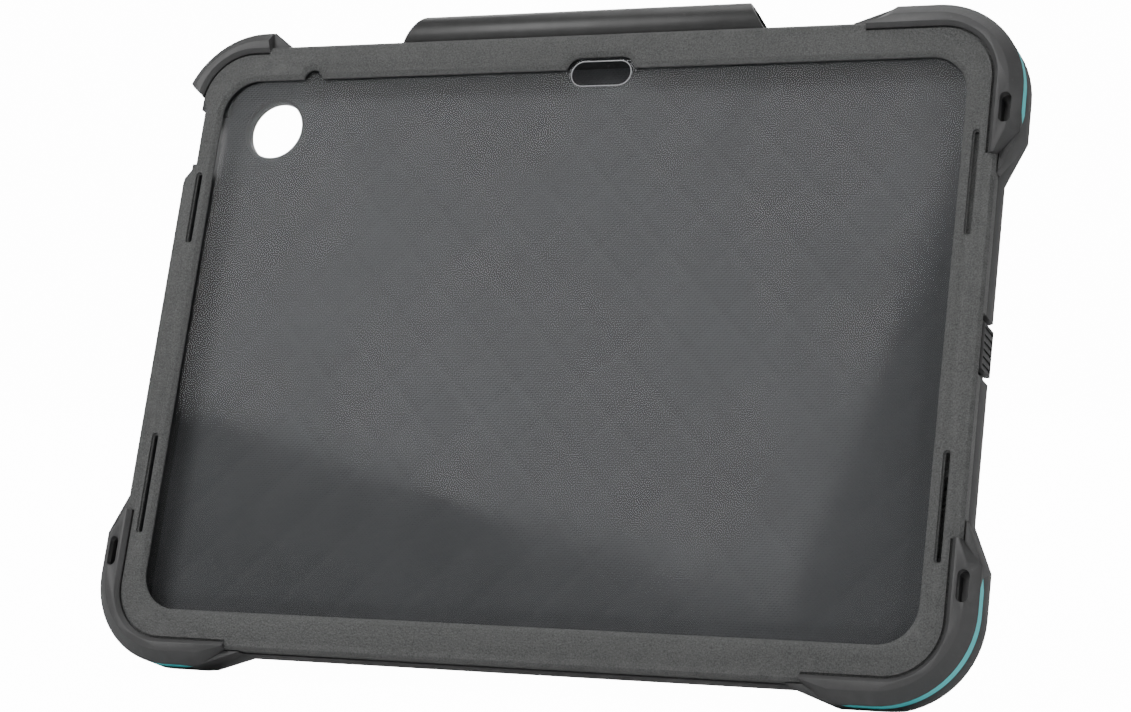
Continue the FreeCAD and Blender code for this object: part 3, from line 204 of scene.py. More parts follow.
class Effects:
    """Shader groups that several materials share."""

    def __init__(self) -> None:
        """Builds each group once."""
        self.grain = self._grain()
        self.wear = self._wear()
        self.dust = self._dust()
        self.smudge = self._smudge()
        self.weave = self._weave()

    @staticmethod
    def _grain() -> bpy.types.NodeTree:
        """Moulded grain: rounded pits of uneven size with a fine noise over them."""
        build, given, out = new_group(
            "mould_grain", "ShaderNodeTree",
            {"Vector": VECTOR, "Scale": (FLOAT, 1500.0)}, {"Height": FLOAT, "Tone": FLOAT},
        )
        cells = build.node("ShaderNodeTexVoronoi", {"feature": "SMOOTH_F1"},
                           Vector=given.outputs["Vector"], Scale=given.outputs["Scale"])
        fine_scale = build.math("MULTIPLY", given.outputs["Scale"], 1.7)
        fine = build.node("ShaderNodeTexNoise", Vector=given.outputs["Vector"],
                          Scale=fine_scale, Detail=3.0, Roughness=0.6)
        pits = build.math("MULTIPLY", cells.outputs["Distance"], 0.75)
        height = build.math("ADD", pits, build.math("MULTIPLY", fine.outputs["Fac"], 0.5))
        build.feed(out.inputs["Height"], height)
        build.feed(out.inputs["Tone"], build.mapped(fine.outputs["Fac"], 0.3, 0.7, 0.0, 1.0))
        return build.tree

    @staticmethod
    def _wear() -> bpy.types.NodeTree:
        """Mask of rubbed convex edges, broken up by noise."""
        build, given, out = new_group(
            "edge_wear", "ShaderNodeTree",
            {"Vector": VECTOR, "Amount": (FLOAT, 0.5)}, {"Mask": FLOAT},
        )
        point = build.node("ShaderNodeNewGeometry").outputs["Pointiness"]
        edge = build.mapped(point, 0.505, 0.56, 0.0, 1.0)
        noise = build.node("ShaderNodeTexNoise", Vector=given.outputs["Vector"], Scale=220.0,
                           Detail=4.0)
        broken = build.math("MULTIPLY", edge, build.mapped(noise.outputs["Fac"], 0.38, 0.62, 0, 1))
        build.feed(out.inputs["Mask"], build.math("MULTIPLY", broken, given.outputs["Amount"]))
        return build.tree

    @staticmethod
    def _dust() -> bpy.types.NodeTree:
        """Mask of specks and a thin film of dust on faces that point upwards."""
        build, given, out = new_group(
            "dust", "ShaderNodeTree",
            {"Vector": VECTOR, "Amount": (FLOAT, 0.5)}, {"Mask": FLOAT},
        )
        normal = build.node("ShaderNodeNewGeometry").outputs["Normal"]
        upward = build.node("ShaderNodeSeparateXYZ", Vector=normal).outputs["Z"]
        film = build.node("ShaderNodeTexNoise", Vector=given.outputs["Vector"], Scale=35.0,
                          Detail=5.0, Roughness=0.7)
        speck = build.node("ShaderNodeTexNoise", Vector=given.outputs["Vector"], Scale=900.0,
                           Detail=2.0)
        specks = build.mapped(speck.outputs["Fac"], 0.66, 0.74, 0.0, 1.0)
        cover = build.mapped(upward, -0.2, 1.0, 0.15, 1.0)
        haze = build.math("MULTIPLY", build.mapped(film.outputs["Fac"], 0.35, 0.75, 0, 1), 0.35)
        mask = build.math("MULTIPLY", cover, build.math("ADD", haze, specks))
        build.feed(out.inputs["Mask"], build.math("MULTIPLY", mask, given.outputs["Amount"]))
        return build.tree

    @staticmethod
    def _smudge() -> bpy.types.NodeTree:
        """Broad uneven sheen, as hands leave on a surface."""
        build, given, out = new_group(
            "smudge", "ShaderNodeTree",
            {"Vector": VECTOR, "Scale": (FLOAT, 18.0)}, {"Value": FLOAT},
        )
        noise = build.node("ShaderNodeTexNoise", Vector=given.outputs["Vector"],
                           Scale=given.outputs["Scale"], Detail=4.0, Roughness=0.55,
                           Distortion=0.6)
        build.feed(out.inputs["Value"], build.mapped(noise.outputs["Fac"], 0.3, 0.7, 0.0, 1.0))
        return build.tree

    @staticmethod
    def _weave() -> bpy.types.NodeTree:
        """Plain weave: warp and weft threads that pass over each other in turn."""
        build, given, out = new_group(
            "weave", "ShaderNodeTree",
            {"Vector": VECTOR, "Pitch": (FLOAT, 0.001)}, {"Height": FLOAT, "Tone": FLOAT},
        )
        parts = build.node("ShaderNodeSeparateXYZ", Vector=given.outputs["Vector"])
        pitch = given.outputs["Pitch"]
        along = build.math("DIVIDE", parts.outputs["X"], pitch)
        across = build.math("DIVIDE", parts.outputs["Y"], pitch)
        warp = build.math("ABSOLUTE", build.math("SINE", build.math("MULTIPLY", along, math.pi)))
        weft = build.math("ABSOLUTE", build.math("SINE", build.math("MULTIPLY", across, math.pi)))
        cells = build.math("ADD", build.math("FLOOR", along), build.math("FLOOR", across))
        over = build.math("PINGPONG", cells, 1.0)
        height = build.node("ShaderNodeMix", {"data_type": "FLOAT"})
        build.feed(height.inputs["Factor"], over)
        build.feed(height.inputs[2], warp)
        build.feed(height.inputs[3], weft)
        fuzz = build.node("ShaderNodeTexNoise", Vector=given.outputs["Vector"], Scale=1400.0,
                          Detail=3.0)
        build.feed(out.inputs["Height"], height.outputs[0])
        build.feed(out.inputs["Tone"], build.math("MULTIPLY", height.outputs[0],
                                                 build.mapped(fuzz.outputs["Fac"], 0.2, 0.8,
                                                              0.6, 1.0)))
        return build.tree


EFFECTS = Effects()


# --- finishes -------------------------------------------------------------------------------
Shading = tuple[bpy.types.Material, TreeBuilder, bpy.types.Node, bpy.types.NodeSocket]


def shaded(name: str) -> Shading:
    """Starts a material.

    Args:
        name: The material's name.

    Returns:
        The material, its tree's builder, its Principled BSDF and its Object coordinates.
    """
    material = bpy.data.materials.new(f"{name}_finish")
    material.use_nodes = True
    build = TreeBuilder(material.node_tree)
    principled = next(n for n in material.node_tree.nodes if n.type == "BSDF_PRINCIPLED")
    place = build.node("ShaderNodeTexCoord").outputs["Object"]
    return material, build, principled, place


def effect(build: TreeBuilder, group: bpy.types.NodeTree, **inputs: object) -> bpy.types.Node:
    """Places a shared shader group in a material with its own values."""
    node = build.tree.nodes.new("ShaderNodeGroup")
    node.node_tree = group
    for name, value in inputs.items():
        build.feed(node.inputs[name], value)
    return node


@dataclass(frozen=True)
class MouldedFinish:
    """Moulded plastic or rubber with grain, rubbed edges and a little dust."""

    name: str
    colour: Colour
    worn: Colour
    roughness: float
    grain_scale: float
    grain_depth: float
    speckle: float = 0.12
    wear: float = 0.4
    dust: float = 0.15
    gloss_range: float = 0.08

    def material(self) -> bpy.types.Material:
        """Builds the finish's material."""
        material, build, principled, place = shaded(self.name)
        grain = effect(build, EFFECTS.grain, Vector=place, Scale=self.grain_scale)
        wear = effect(build, EFFECTS.wear, Vector=place, Amount=self.wear)
        dust = effect(build, EFFECTS.dust, Vector=place, Amount=self.dust)
        smudge = effect(build, EFFECTS.smudge, Vector=place)
        darker = tuple(c * (1 - self.speckle) for c in self.colour) + (1.0,)
        lighter = tuple(c * (1 + self.speckle) for c in self.colour) + (1.0,)
        tone = build.mixed(grain.outputs["Tone"], darker, lighter)
        tone = build.mixed(wear.outputs["Mask"], tone, self.worn + (1.0,))
        dusty = (0.45, 0.44, 0.42, 1.0)
        build.feed(principled.inputs["Base Color"],
                   build.mixed(dust.outputs["Mask"], tone, dusty))
        gloss = build.mapped(smudge.outputs["Value"], 0, 1, self.roughness - self.gloss_range,
                             self.roughness + self.gloss_range)
        build.feed(principled.inputs["Roughness"],
                   build.math("ADD", gloss, build.math("MULTIPLY", dust.outputs["Mask"], 0.3)))
        bump = build.node("ShaderNodeBump", Strength=1.0, Distance=self.grain_depth,
                          Height=grain.outputs["Height"])
        build.feed(principled.inputs["Normal"], bump.outputs["Normal"])
        return material


@dataclass(frozen=True)
class ClothFinish:
    """Woven or napped cloth whose threads follow the case's axes."""

    name: str
    colour: Colour
    light: Colour
    pitch: float
    depth: float
    sheen: float = 0.3
    turn: float = 0.0

    def material(self) -> bpy.types.Material:
        """Builds the finish's material."""
        material, build, principled, place = shaded(self.name)
        lean = math.atan2(AXES.y.y, AXES.y.z)
        laid = build.node("ShaderNodeMapping", {"vector_type": "POINT"}, Vector=place)
        laid.inputs["Rotation"].default_value = (lean - math.pi / 2, 0.0, self.turn)
        threads = effect(build, EFFECTS.weave, Vector=laid.outputs["Vector"], Pitch=self.pitch)
        broad = effect(build, EFFECTS.smudge, Vector=place, Scale=40.0)
        dust = effect(build, EFFECTS.dust, Vector=place, Amount=0.12)
        tone = build.mixed(threads.outputs["Tone"], self.colour + (1.0,), self.light + (1.0,))
        faded = tuple(c * 1.35 for c in self.light) + (1.0,)
        tone = build.mixed(build.math("MULTIPLY", broad.outputs["Value"], 0.3), tone, faded)
        dusty = (0.4, 0.39, 0.38, 1.0)
        tone = build.mixed(dust.outputs["Mask"], tone, dusty)
        build.feed(principled.inputs["Base Color"], tone)
        build.feed(principled.inputs["Roughness"],
                   build.mapped(broad.outputs["Value"], 0, 1, 0.82, 0.95))
        principled.inputs["Sheen Weight"].default_value = self.sheen
        principled.inputs["Sheen Roughness"].default_value = 0.45
        bump = build.node("ShaderNodeBump", Strength=0.9, Distance=self.depth,
                          Height=threads.outputs["Height"])
        build.feed(principled.inputs["Normal"], bump.outputs["Normal"])
        return material


@dataclass(frozen=True)
class MetalFinish:
    """Anodised or blackened metal with bright rubbed edges."""

    name: str
    colour: Colour
    bare: Colour
    roughness: float
    metallic: float = 0.9

    def material(self) -> bpy.types.Material:
        """Builds the finish's material."""
        material, build, principled, place = shaded(self.name)
        grain = effect(build, EFFECTS.grain, Vector=place, Scale=2600.0)
        wear = effect(build, EFFECTS.wear, Vector=place, Amount=0.25)
        smudge = effect(build, EFFECTS.smudge, Vector=place, Scale=45.0)
        build.feed(principled.inputs["Base Color"],
                   build.mixed(wear.outputs["Mask"], self.colour + (1.0,), self.bare + (1.0,)))
        build.feed(principled.inputs["Roughness"],
                   build.mapped(smudge.outputs["Value"], 0, 1, self.roughness - 0.07,
                                self.roughness + 0.1))
        principled.inputs["Metallic"].default_value = self.metallic
        bump = build.node("ShaderNodeBump", Strength=0.5, Distance=0.00002,
                          Height=grain.outputs["Height"])
        build.feed(principled.inputs["Normal"], bump.outputs["Normal"])
        return material


@dataclass(frozen=True)
class FilmFinish:
    """Clear film: it shows what is behind it and mirrors a little, more at a low angle."""

    name: str
    clearness: float
    index: float

    def material(self) -> bpy.types.Material:
        """Builds the finish's material."""
        material, build, principled, place = shaded(self.name)
        smudge = effect(build, EFFECTS.smudge, Vector=place, Scale=24.0)
        principled.inputs["Metallic"].default_value = 1.0
        principled.inputs["Base Color"].default_value = (0.92, 0.94, 0.96, 1.0)
        build.feed(principled.inputs["Roughness"],
                   build.mapped(smudge.outputs["Value"], 0, 1, 0.03, 0.12))
        mirror = build.node("ShaderNodeFresnel", IOR=self.index).outputs["Fac"]
        build.feed(principled.inputs["Alpha"],
                   build.mapped(mirror, 0, 1, 1.0 - self.clearness, 1.0))
        return material


FINISHES = {
    finish.name: finish
    for finish in (
        MouldedFinish("frame_plastic", (0.076, 0.078, 0.077), (0.15, 0.15, 0.15), 0.55, 1500.0,
                      0.0003, speckle=0.55, wear=0.3, dust=0.06),
        MouldedFinish("bumper_rubber", (0.05, 0.05, 0.051), (0.11, 0.11, 0.11), 0.46, 3200.0,
                      0.00003, speckle=0.1, wear=0.3, dust=0.06),
        MouldedFinish("sleeve_rubber", (0.033, 0.033, 0.034), (0.08, 0.08, 0.08), 0.48, 3000.0,
                      0.00003, speckle=0.1, wear=0.3, dust=0.06),
        MouldedFinish("stylus_rubber", (0.03, 0.03, 0.03), (0.07, 0.07, 0.07), 0.38, 3200.0,
                      0.00002, speckle=0.08, wear=0.25, dust=0.04),
        MouldedFinish("accent_rubber", (0.05, 0.66, 0.70), (0.25, 0.75, 0.78), 0.42, 2800.0,
                      0.00002, speckle=0.05, wear=0.2, dust=0.0),
        MouldedFinish("shell_plastic", (0.034, 0.035, 0.037), (0.09, 0.09, 0.09), 0.5, 1700.0,
                      0.0001, speckle=0.2, wear=0.5, dust=0.16),
        MouldedFinish("pad_rubber", (0.03, 0.03, 0.031), (0.07, 0.07, 0.07), 0.72, 2200.0,
                      0.00005, wear=0.2),
        MouldedFinish("nylon", (0.26, 0.26, 0.25), (0.36, 0.36, 0.35), 0.5, 2600.0, 0.00002),
        MouldedFinish("adhesive", (0.02, 0.02, 0.02), (0.03, 0.03, 0.03), 0.6, 1800.0, 0.00002),
        ClothFinish("liner_cloth", (0.035, 0.037, 0.04), (0.075, 0.078, 0.083), 0.0007, 0.00012,
                    sheen=0.25),
        ClothFinish("strap_webbing", (0.022, 0.022, 0.024), (0.06, 0.061, 0.064), 0.0011,
                    0.00035, sheen=0.3),
        ClothFinish("strap_foam", (0.04, 0.041, 0.045), (0.09, 0.092, 0.098), 0.0009, 0.0002,
                    sheen=0.45),
        ClothFinish("strap_thread", (0.16, 0.17, 0.18), (0.26, 0.27, 0.28), 0.0003, 0.00005),
        MetalFinish("dark_metal", (0.06, 0.061, 0.064), (0.24, 0.24, 0.25), 0.42),
        MetalFinish("screw_steel", (0.2, 0.2, 0.205), (0.6, 0.6, 0.6), 0.32, 1.0),
        # Film's cut edge: its light grey is a painted highlight for the light caught by the clear
        # edge.
        MouldedFinish("film_edge_highlight", (0.3, 0.31, 0.32), (0.5, 0.5, 0.5), 0.2, 3000.0, 0.00001,
                      speckle=0.03, wear=0.1, dust=0.0),
        FilmFinish("clear_film", 0.999, 1.13),
    )
}
MATERIALS = {name: finish.material() for name, finish in FINISHES.items()}


# --- making pieces --------------------------------------------------------------------------
def new_object(name: str, mesh: bpy.types.Mesh) -> bpy.types.Object:
    """Puts a mesh into the scene as an object at the origin."""
    piece = bpy.data.objects.new(name, mesh)
    bpy.context.scene.collection.objects.link(piece)
    return piece


def applied(piece: bpy.types.Object) -> None:
    """Turns a piece's modifiers into plain mesh and removes them."""
    graph = bpy.context.evaluated_depsgraph_get()
    graph.update()
    mesh = bpy.data.meshes.new_from_object(piece.evaluated_get(graph))
    piece.modifiers.clear()
    piece.data = mesh


def smooth(mesh: bpy.types.Mesh, degrees: float) -> None:
    """Shades a mesh smooth except along edges sharper than an angle."""
    mesh.shade_smooth()
    mesh.set_sharp_from_angle(angle=math.radians(degrees))


def from_bmesh(name: str, shape: bmesh.types.BMesh, in_case: bool = True) -> bpy.types.Object:
    """Makes an object from a bmesh, which is freed.

    Args:
        name: The piece's name.
        shape: The mesh.
        in_case: Whether its points are in case coordinates.

    Returns:
        The new object.
    """
    if in_case:
        shape.transform(AXES.matrix())
    bmesh.ops.recalc_face_normals(shape, faces=shape.faces)
    mesh = bpy.data.meshes.new(name)
    shape.to_mesh(mesh)
    shape.free()
    return new_object(name, mesh)


def dress(piece: bpy.types.Object, finish: str) -> None:
    """Gives a piece one finish all over."""
    if not piece.material_slots:
        piece.data.materials.append(MATERIALS[finish])
    for slot in piece.material_slots:
        slot.material = MATERIALS[finish]


def place(piece: bpy.types.Object, body: Body, slot: str, *replaced: str) -> None:
    """Lets a piece ride on a body and stand for CAD nodes.

    Args:
        piece: The finished piece.
        body: The body that it moves with.
        slot: The record's material slot; not used.
        *replaced: CAD nodes that it stands for.
    """
    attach(piece, body.value)
    if replaced:
        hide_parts(*replaced)
    faces = len(piece.data.polygons)
    LOG.info("%s rides on %s with %d faces", piece.name, body.value, faces)


def strip(half_width: float, half_thickness: float, sides: int) -> list[tuple[float, float]]:
    """Cross-section of a flat strap with round edges, as (across, through) points."""
    points = []
    for index in range(sides):
        turn = 2 * math.pi * index / sides
        across = math.copysign(abs(math.cos(turn)) ** 0.25, math.cos(turn))
        through = math.copysign(abs(math.sin(turn)) ** 0.6, math.sin(turn))
        points.append((across * half_width, through * half_thickness))
    return points


def rounded_path(corners: list[tuple[float, float, float]], step: float) -> list[Vector]:
    """Points along straight runs joined by arcs, in X and Z of the case.

    Args:
        corners: (x, z, radius) of each corner; the ends have no radius.
        step: Longest distance between points on a run.

    Returns:
        The points from one end to the other.
    """
    points = [Vector((corners[0][0], 0.0, corners[0][1]))]
    for index in range(1, len(corners)):
        x, z, radius = corners[index]
        here = Vector((x, 0.0, z))
        ahead = [here]
        if index < len(corners) - 1:
            before = (Vector((corners[index - 1][0], 0.0, corners[index - 1][1])) - here)
            after = (Vector((corners[index + 1][0], 0.0, corners[index + 1][1])) - here)
            before.normalize()
            after.normalize()
            half = before.angle(after) / 2
            centre = here + (before + after).normalized() * (radius / math.sin(half))
            start = here + before * (radius / math.tan(half)) - centre
            end = here + after * (radius / math.tan(half)) - centre
            turns = 10
            ahead = [centre + start.normalized().slerp(end.normalized(), i / turns) * radius
                     for i in range(turns + 1)]
        last = points[-1]
        count = max(1, round((ahead[0] - last).length / step))
        points += [last.lerp(ahead[0], i / count) for i in range(1, count + 1)]
        points += ahead[1:]
    return points


# --- repeating pieces -----------------------------------------------------------------------
class Repeats:
    """Geometry Nodes trees for what repeats along a line or over points."""

    def __init__(self) -> None:
        """Builds each tree once."""
        self.stitches = self._stitches()
        self.screws = self._screws()
        self.studs = self._studs()

    @staticmethod
    def _finish(build: TreeBuilder, instances: bpy.types.NodeSocket,
                material: bpy.types.NodeSocket, out: bpy.types.Node) -> None:
        """Ends a tree: the instances become real and get their material."""
        real = build.node("GeometryNodeRealizeInstances", Geometry=instances)
        painted = build.node("GeometryNodeSetMaterial", Geometry=real.outputs["Geometry"],
                             Material=material)
        build.feed(out.inputs["Geometry"], painted.outputs["Geometry"])

    @classmethod
    def _stitches(cls) -> bpy.types.NodeTree:
        """Thread stitches laid end to end along a line."""
        build, given, out = new_group(
            "stitch_row", "GeometryNodeTree",
            {"Geometry": GEOMETRY, "Pitch": (FLOAT, 0.003), "Length": (FLOAT, 0.0022),
             "Thickness": (FLOAT, 0.0006), "Material": MATERIAL},
            {"Geometry": GEOMETRY},
        )
        line = build.node("GeometryNodeMeshToCurve", Mesh=given.outputs["Geometry"])
        spaced = build.node("GeometryNodeResampleCurve", {"mode": "LENGTH"},
                            Curve=line.outputs["Curve"], Length=given.outputs["Pitch"])
        thread = build.node("GeometryNodeMeshUVSphere", Segments=8, Rings=5, Radius=0.5)
        size = build.node("ShaderNodeCombineXYZ", X=given.outputs["Length"],
                          Y=given.outputs["Thickness"], Z=given.outputs["Thickness"])
        sized = build.node("GeometryNodeTransform", Geometry=thread.outputs["Mesh"],
                           Scale=size.outputs["Vector"])
        tangent = build.node("GeometryNodeInputTangent")
        turn = build.node("FunctionNodeAlignRotationToVector", {"axis": "X"},
                          Vector=tangent.outputs["Tangent"])
        laid = build.node("GeometryNodeInstanceOnPoints", Points=spaced.outputs["Curve"],
                          Instance=sized.outputs["Geometry"],
                          Rotation=turn.outputs["Rotation"])
        cls._finish(build, laid.outputs["Instances"], given.outputs["Material"], out)
        return build.tree

    @classmethod
    def _screws(cls) -> bpy.types.NodeTree:
        """Domed screw heads with a six-sided socket, one at each point."""
        build, given, out = new_group(
            "screw_heads", "GeometryNodeTree",
            {"Geometry": GEOMETRY, "Radius": (FLOAT, 0.0024), "Height": (FLOAT, 0.0012),
             "Socket": (FLOAT, 0.0012), "Turn": VECTOR, "Material": MATERIAL},
            {"Geometry": GEOMETRY},
        )
        top = build.math("MULTIPLY", given.outputs["Radius"], 0.78)
        head = build.node("GeometryNodeMeshCone", Vertices=32, Side_Segments=3,
                          Radius_Top=top, Radius_Bottom=given.outputs["Radius"],
                          Depth=given.outputs["Height"])
        deep = build.math("MULTIPLY", given.outputs["Height"], 1.2)
        key = build.node("GeometryNodeMeshCylinder", Vertices=6, Radius=given.outputs["Socket"],
                         Depth=deep)
        raise_by = build.math("MULTIPLY", given.outputs["Height"], 0.95)
        lift = build.node("ShaderNodeCombineXYZ", Z=raise_by)
        lifted = build.node("GeometryNodeTransform", Geometry=key.outputs["Mesh"],
                            Translation=lift.outputs["Vector"])
        drilled = build.node("GeometryNodeMeshBoolean", {"operation": "DIFFERENCE"})
        build.feed(drilled.inputs["Mesh 1"], head.outputs["Mesh"])
        build.feed(drilled.inputs["Mesh 2"], lifted.outputs["Geometry"])
        rotation = build.node("FunctionNodeEulerToRotation", Euler=given.outputs["Turn"])
        laid = build.node("GeometryNodeInstanceOnPoints", Points=given.outputs["Geometry"],
                          Instance=drilled.outputs["Mesh"],
                          Rotation=rotation.outputs["Rotation"])
        cls._finish(build, laid.outputs["Instances"], given.outputs["Material"], out)
        return build.tree

    @classmethod
    def _studs(cls) -> bpy.types.NodeTree:
        """Low round studs of slightly uneven height, one at each point."""
        build, given, out = new_group(
            "grip_studs", "GeometryNodeTree",
            {"Geometry": GEOMETRY, "Radius": (FLOAT, 0.0012), "Height": (FLOAT, 0.0004),
             "Turn": VECTOR, "Material": MATERIAL},
            {"Geometry": GEOMETRY},
        )
        dome = build.node("GeometryNodeMeshUVSphere", Segments=10, Rings=6, Radius=1.0)
        size = build.node("ShaderNodeCombineXYZ", X=given.outputs["Radius"],
                          Y=given.outputs["Radius"], Z=given.outputs["Height"])
        sized = build.node("GeometryNodeTransform", Geometry=dome.outputs["Mesh"],
                           Scale=size.outputs["Vector"])
        uneven = build.node("FunctionNodeRandomValue", {"data_type": "FLOAT"}, Seed=7)
        build.feed(uneven.inputs[2], 0.88)
        build.feed(uneven.inputs[3], 1.0)
        rotation = build.node("FunctionNodeEulerToRotation", Euler=given.outputs["Turn"])
        laid = build.node("GeometryNodeInstanceOnPoints", Points=given.outputs["Geometry"],
                          Instance=sized.outputs["Geometry"],
                          Rotation=rotation.outputs["Rotation"], Scale=uneven.outputs[1])
        cls._finish(build, laid.outputs["Instances"], given.outputs["Material"], out)
        return build.tree

    @staticmethod
    def run(piece: bpy.types.Object, tree: bpy.types.NodeTree, **values: object) -> None:
        """Runs a tree on a piece and keeps the result as plain mesh.

        Args:
            piece: The object with the points or the line.
            tree: One of the trees.
            **values: The tree's inputs by name.
        """
        modifier = piece.modifiers.new(tree.name, "NODES")
        modifier.node_group = tree
        sockets = {s.name: s.identifier for s in tree.interface.items_tree
                   if s.in_out == "INPUT"}
        for name, value in values.items():
            modifier[sockets[name]] = value
        applied(piece)
        smooth(piece.data, 50)


REPEATS = Repeats()


def points_object(name: str, points: list[tuple[float, float, float]],
                  line: bool = False) -> bpy.types.Object:
    """Makes loose points, or a line through them, from case coordinates."""
    mesh = bpy.data.meshes.new(name)
    edges = [(i, i + 1) for i in range(len(points) - 1)] if line else []
    mesh.from_pydata([AXES.matrix() @ Vector(p) for p in points], edges, [])
    return new_object(name, mesh)


# --- carried-over pieces --------------------------------------------------------------------
CORNERS = ("tl", "tr", "bl", "br")


@dataclass
class MouldedParts:
    """Hard and rubber pieces whose CAD shape is right, with their moulded edges rounded."""

    edge: float = 0.22 * MM
    rounded: dict[str, tuple[Body, str]] = field(default_factory=lambda: {
        "front_frame": (Body.FRONT, "frame_plastic"),
        **{f"front_bumper_{corner}": (Body.FRONT, "bumper_rubber") for corner in CORNERS},
        "shock_sleeve": (Body.BACK, "sleeve_rubber"),
        "stylus_sleeve": (Body.BACK, "stylus_rubber"),
        "back_shell": (Body.BACK, "shell_plastic"),
        "camera_guard": (Body.BACK, "shell_plastic"),
        "volume_up_button": (Body.VOLUME_UP, "sleeve_rubber"),
        "volume_down_button": (Body.VOLUME_DOWN, "sleeve_rubber"),
        "swivel_plate": (Body.SWIVEL, "shell_plastic"),
        "strap_clamp_left": (Body.SWIVEL, "dark_metal"),
        "strap_clamp_right": (Body.SWIVEL, "dark_metal"),
        "hinge_pin_left": (Body.SWIVEL, "screw_steel"),
        "hinge_pin_right": (Body.SWIVEL, "screw_steel"),
        "kickstand_leg": (Body.STAND, "dark_metal"),
        "kickstand_foot": (Body.STAND, "pad_rubber"),
    })
    plain: dict[str, str] = field(default_factory=lambda: {
        "screen_film": "clear_film",
        "film_tape": "adhesive",
        "port_door": "sleeve_rubber",
        "friction_ring": "nylon",
        "retaining_washer": "nylon",
        "swivel_screws": "screw_steel",
        "hinge_washer_left": "nylon",
        "hinge_washer_right": "nylon",
        **{f"accent_{corner}": "accent_rubber" for corner in CORNERS},
        **{f"corner_pad_{corner}": "pad_rubber" for corner in CORNERS},
    })

    def rounded_copy(self, node: str) -> bpy.types.Object:
        """Copies a CAD node and rounds its sharp edges.

        Args:
            node: Name of the CAD node.

        Returns:
            The rounded piece.
        """
        shape = bmesh.new()
        shape.from_mesh(frame["nodes"][node].data)
        bmesh.ops.remove_doubles(shape, verts=shape.verts, dist=2e-6)
        bmesh.ops.dissolve_limit(shape, angle_limit=math.radians(0.4), verts=shape.verts,
                                 edges=shape.edges)
        mesh = bpy.data.meshes.new(f"{node}_moulded")
        shape.to_mesh(mesh)
        shape.free()
        piece = new_object(f"{node}_moulded", mesh)
        bevel = piece.modifiers.new("moulded_edge", "BEVEL")
        bevel.width = self.edge
        bevel.segments = 2
        bevel.limit_method = "ANGLE"
        bevel.angle_limit = math.radians(28)
        bevel.use_clamp_overlap = True
        bevel.miter_outer = "MITER_ARC"
        applied(piece)
        smooth(piece.data, 32)
        return piece

    def build(self) -> None:
        """Rounds and dresses every carried-over piece."""
        for node, (body, finish) in self.rounded.items():
            piece = self.rounded_copy(node)
            dress(piece, finish)
            place(piece, body, finish, node)
        for node, finish in self.plain.items():
            dress(frame["nodes"][node], finish)
            LOG.info("%s keeps its shape, in %s", node, finish)


# --- film -----------------------------------------------------------------------------------
@dataclass
class FilmEdge:
    """Cut edge of the film round the front camera, opaque light grey as a painted highlight for
    the light that its clear polished edge catches.
    """

    centre: tuple[float, float] = (7.4 * MM, 84.5 * MM)
    half_width: float = 9.9 * MM
    half_height: float = 4.15 * MM
    rim: float = 0.3 * MM
    sides: int = 72

    def build(self) -> None:
        """Builds the rim as a closed ring in the film's thickness."""
        low, high = AXES.extent("screen_film")
        shape = bmesh.new()
        rings = []
        for index in range(self.sides):
            turn = 2 * math.pi * (index + 0.5) / self.sides
            out = Vector((math.cos(turn), math.sin(turn)))
            run = math.copysign(self.half_width - self.half_height, out.x)
            ring = []
            for radius, z in ((self.half_height - self.rim, low.z), (self.half_height, low.z),
                              (self.half_height, high.z), (self.half_height - self.rim, high.z)):
                x = self.centre[0] + run + out.x * radius
                ring.append(shape.verts.new((x, self.centre[1] + out.y * radius, z)))
            rings.append(ring)
        for index, ring in enumerate(rings):
            following = rings[(index + 1) % self.sides]
            for i in range(4):
                j = (i + 1) % 4
                shape.faces.new((ring[i], ring[j], following[j], following[i]))
        edge = from_bmesh("film_cut_edge", shape)
        smooth(edge.data, 40)
        # The ring's light grey finish is a painted highlight.
        dress(edge, "film_edge_highlight")
        place(edge, Body.FRONT, "clear_film")


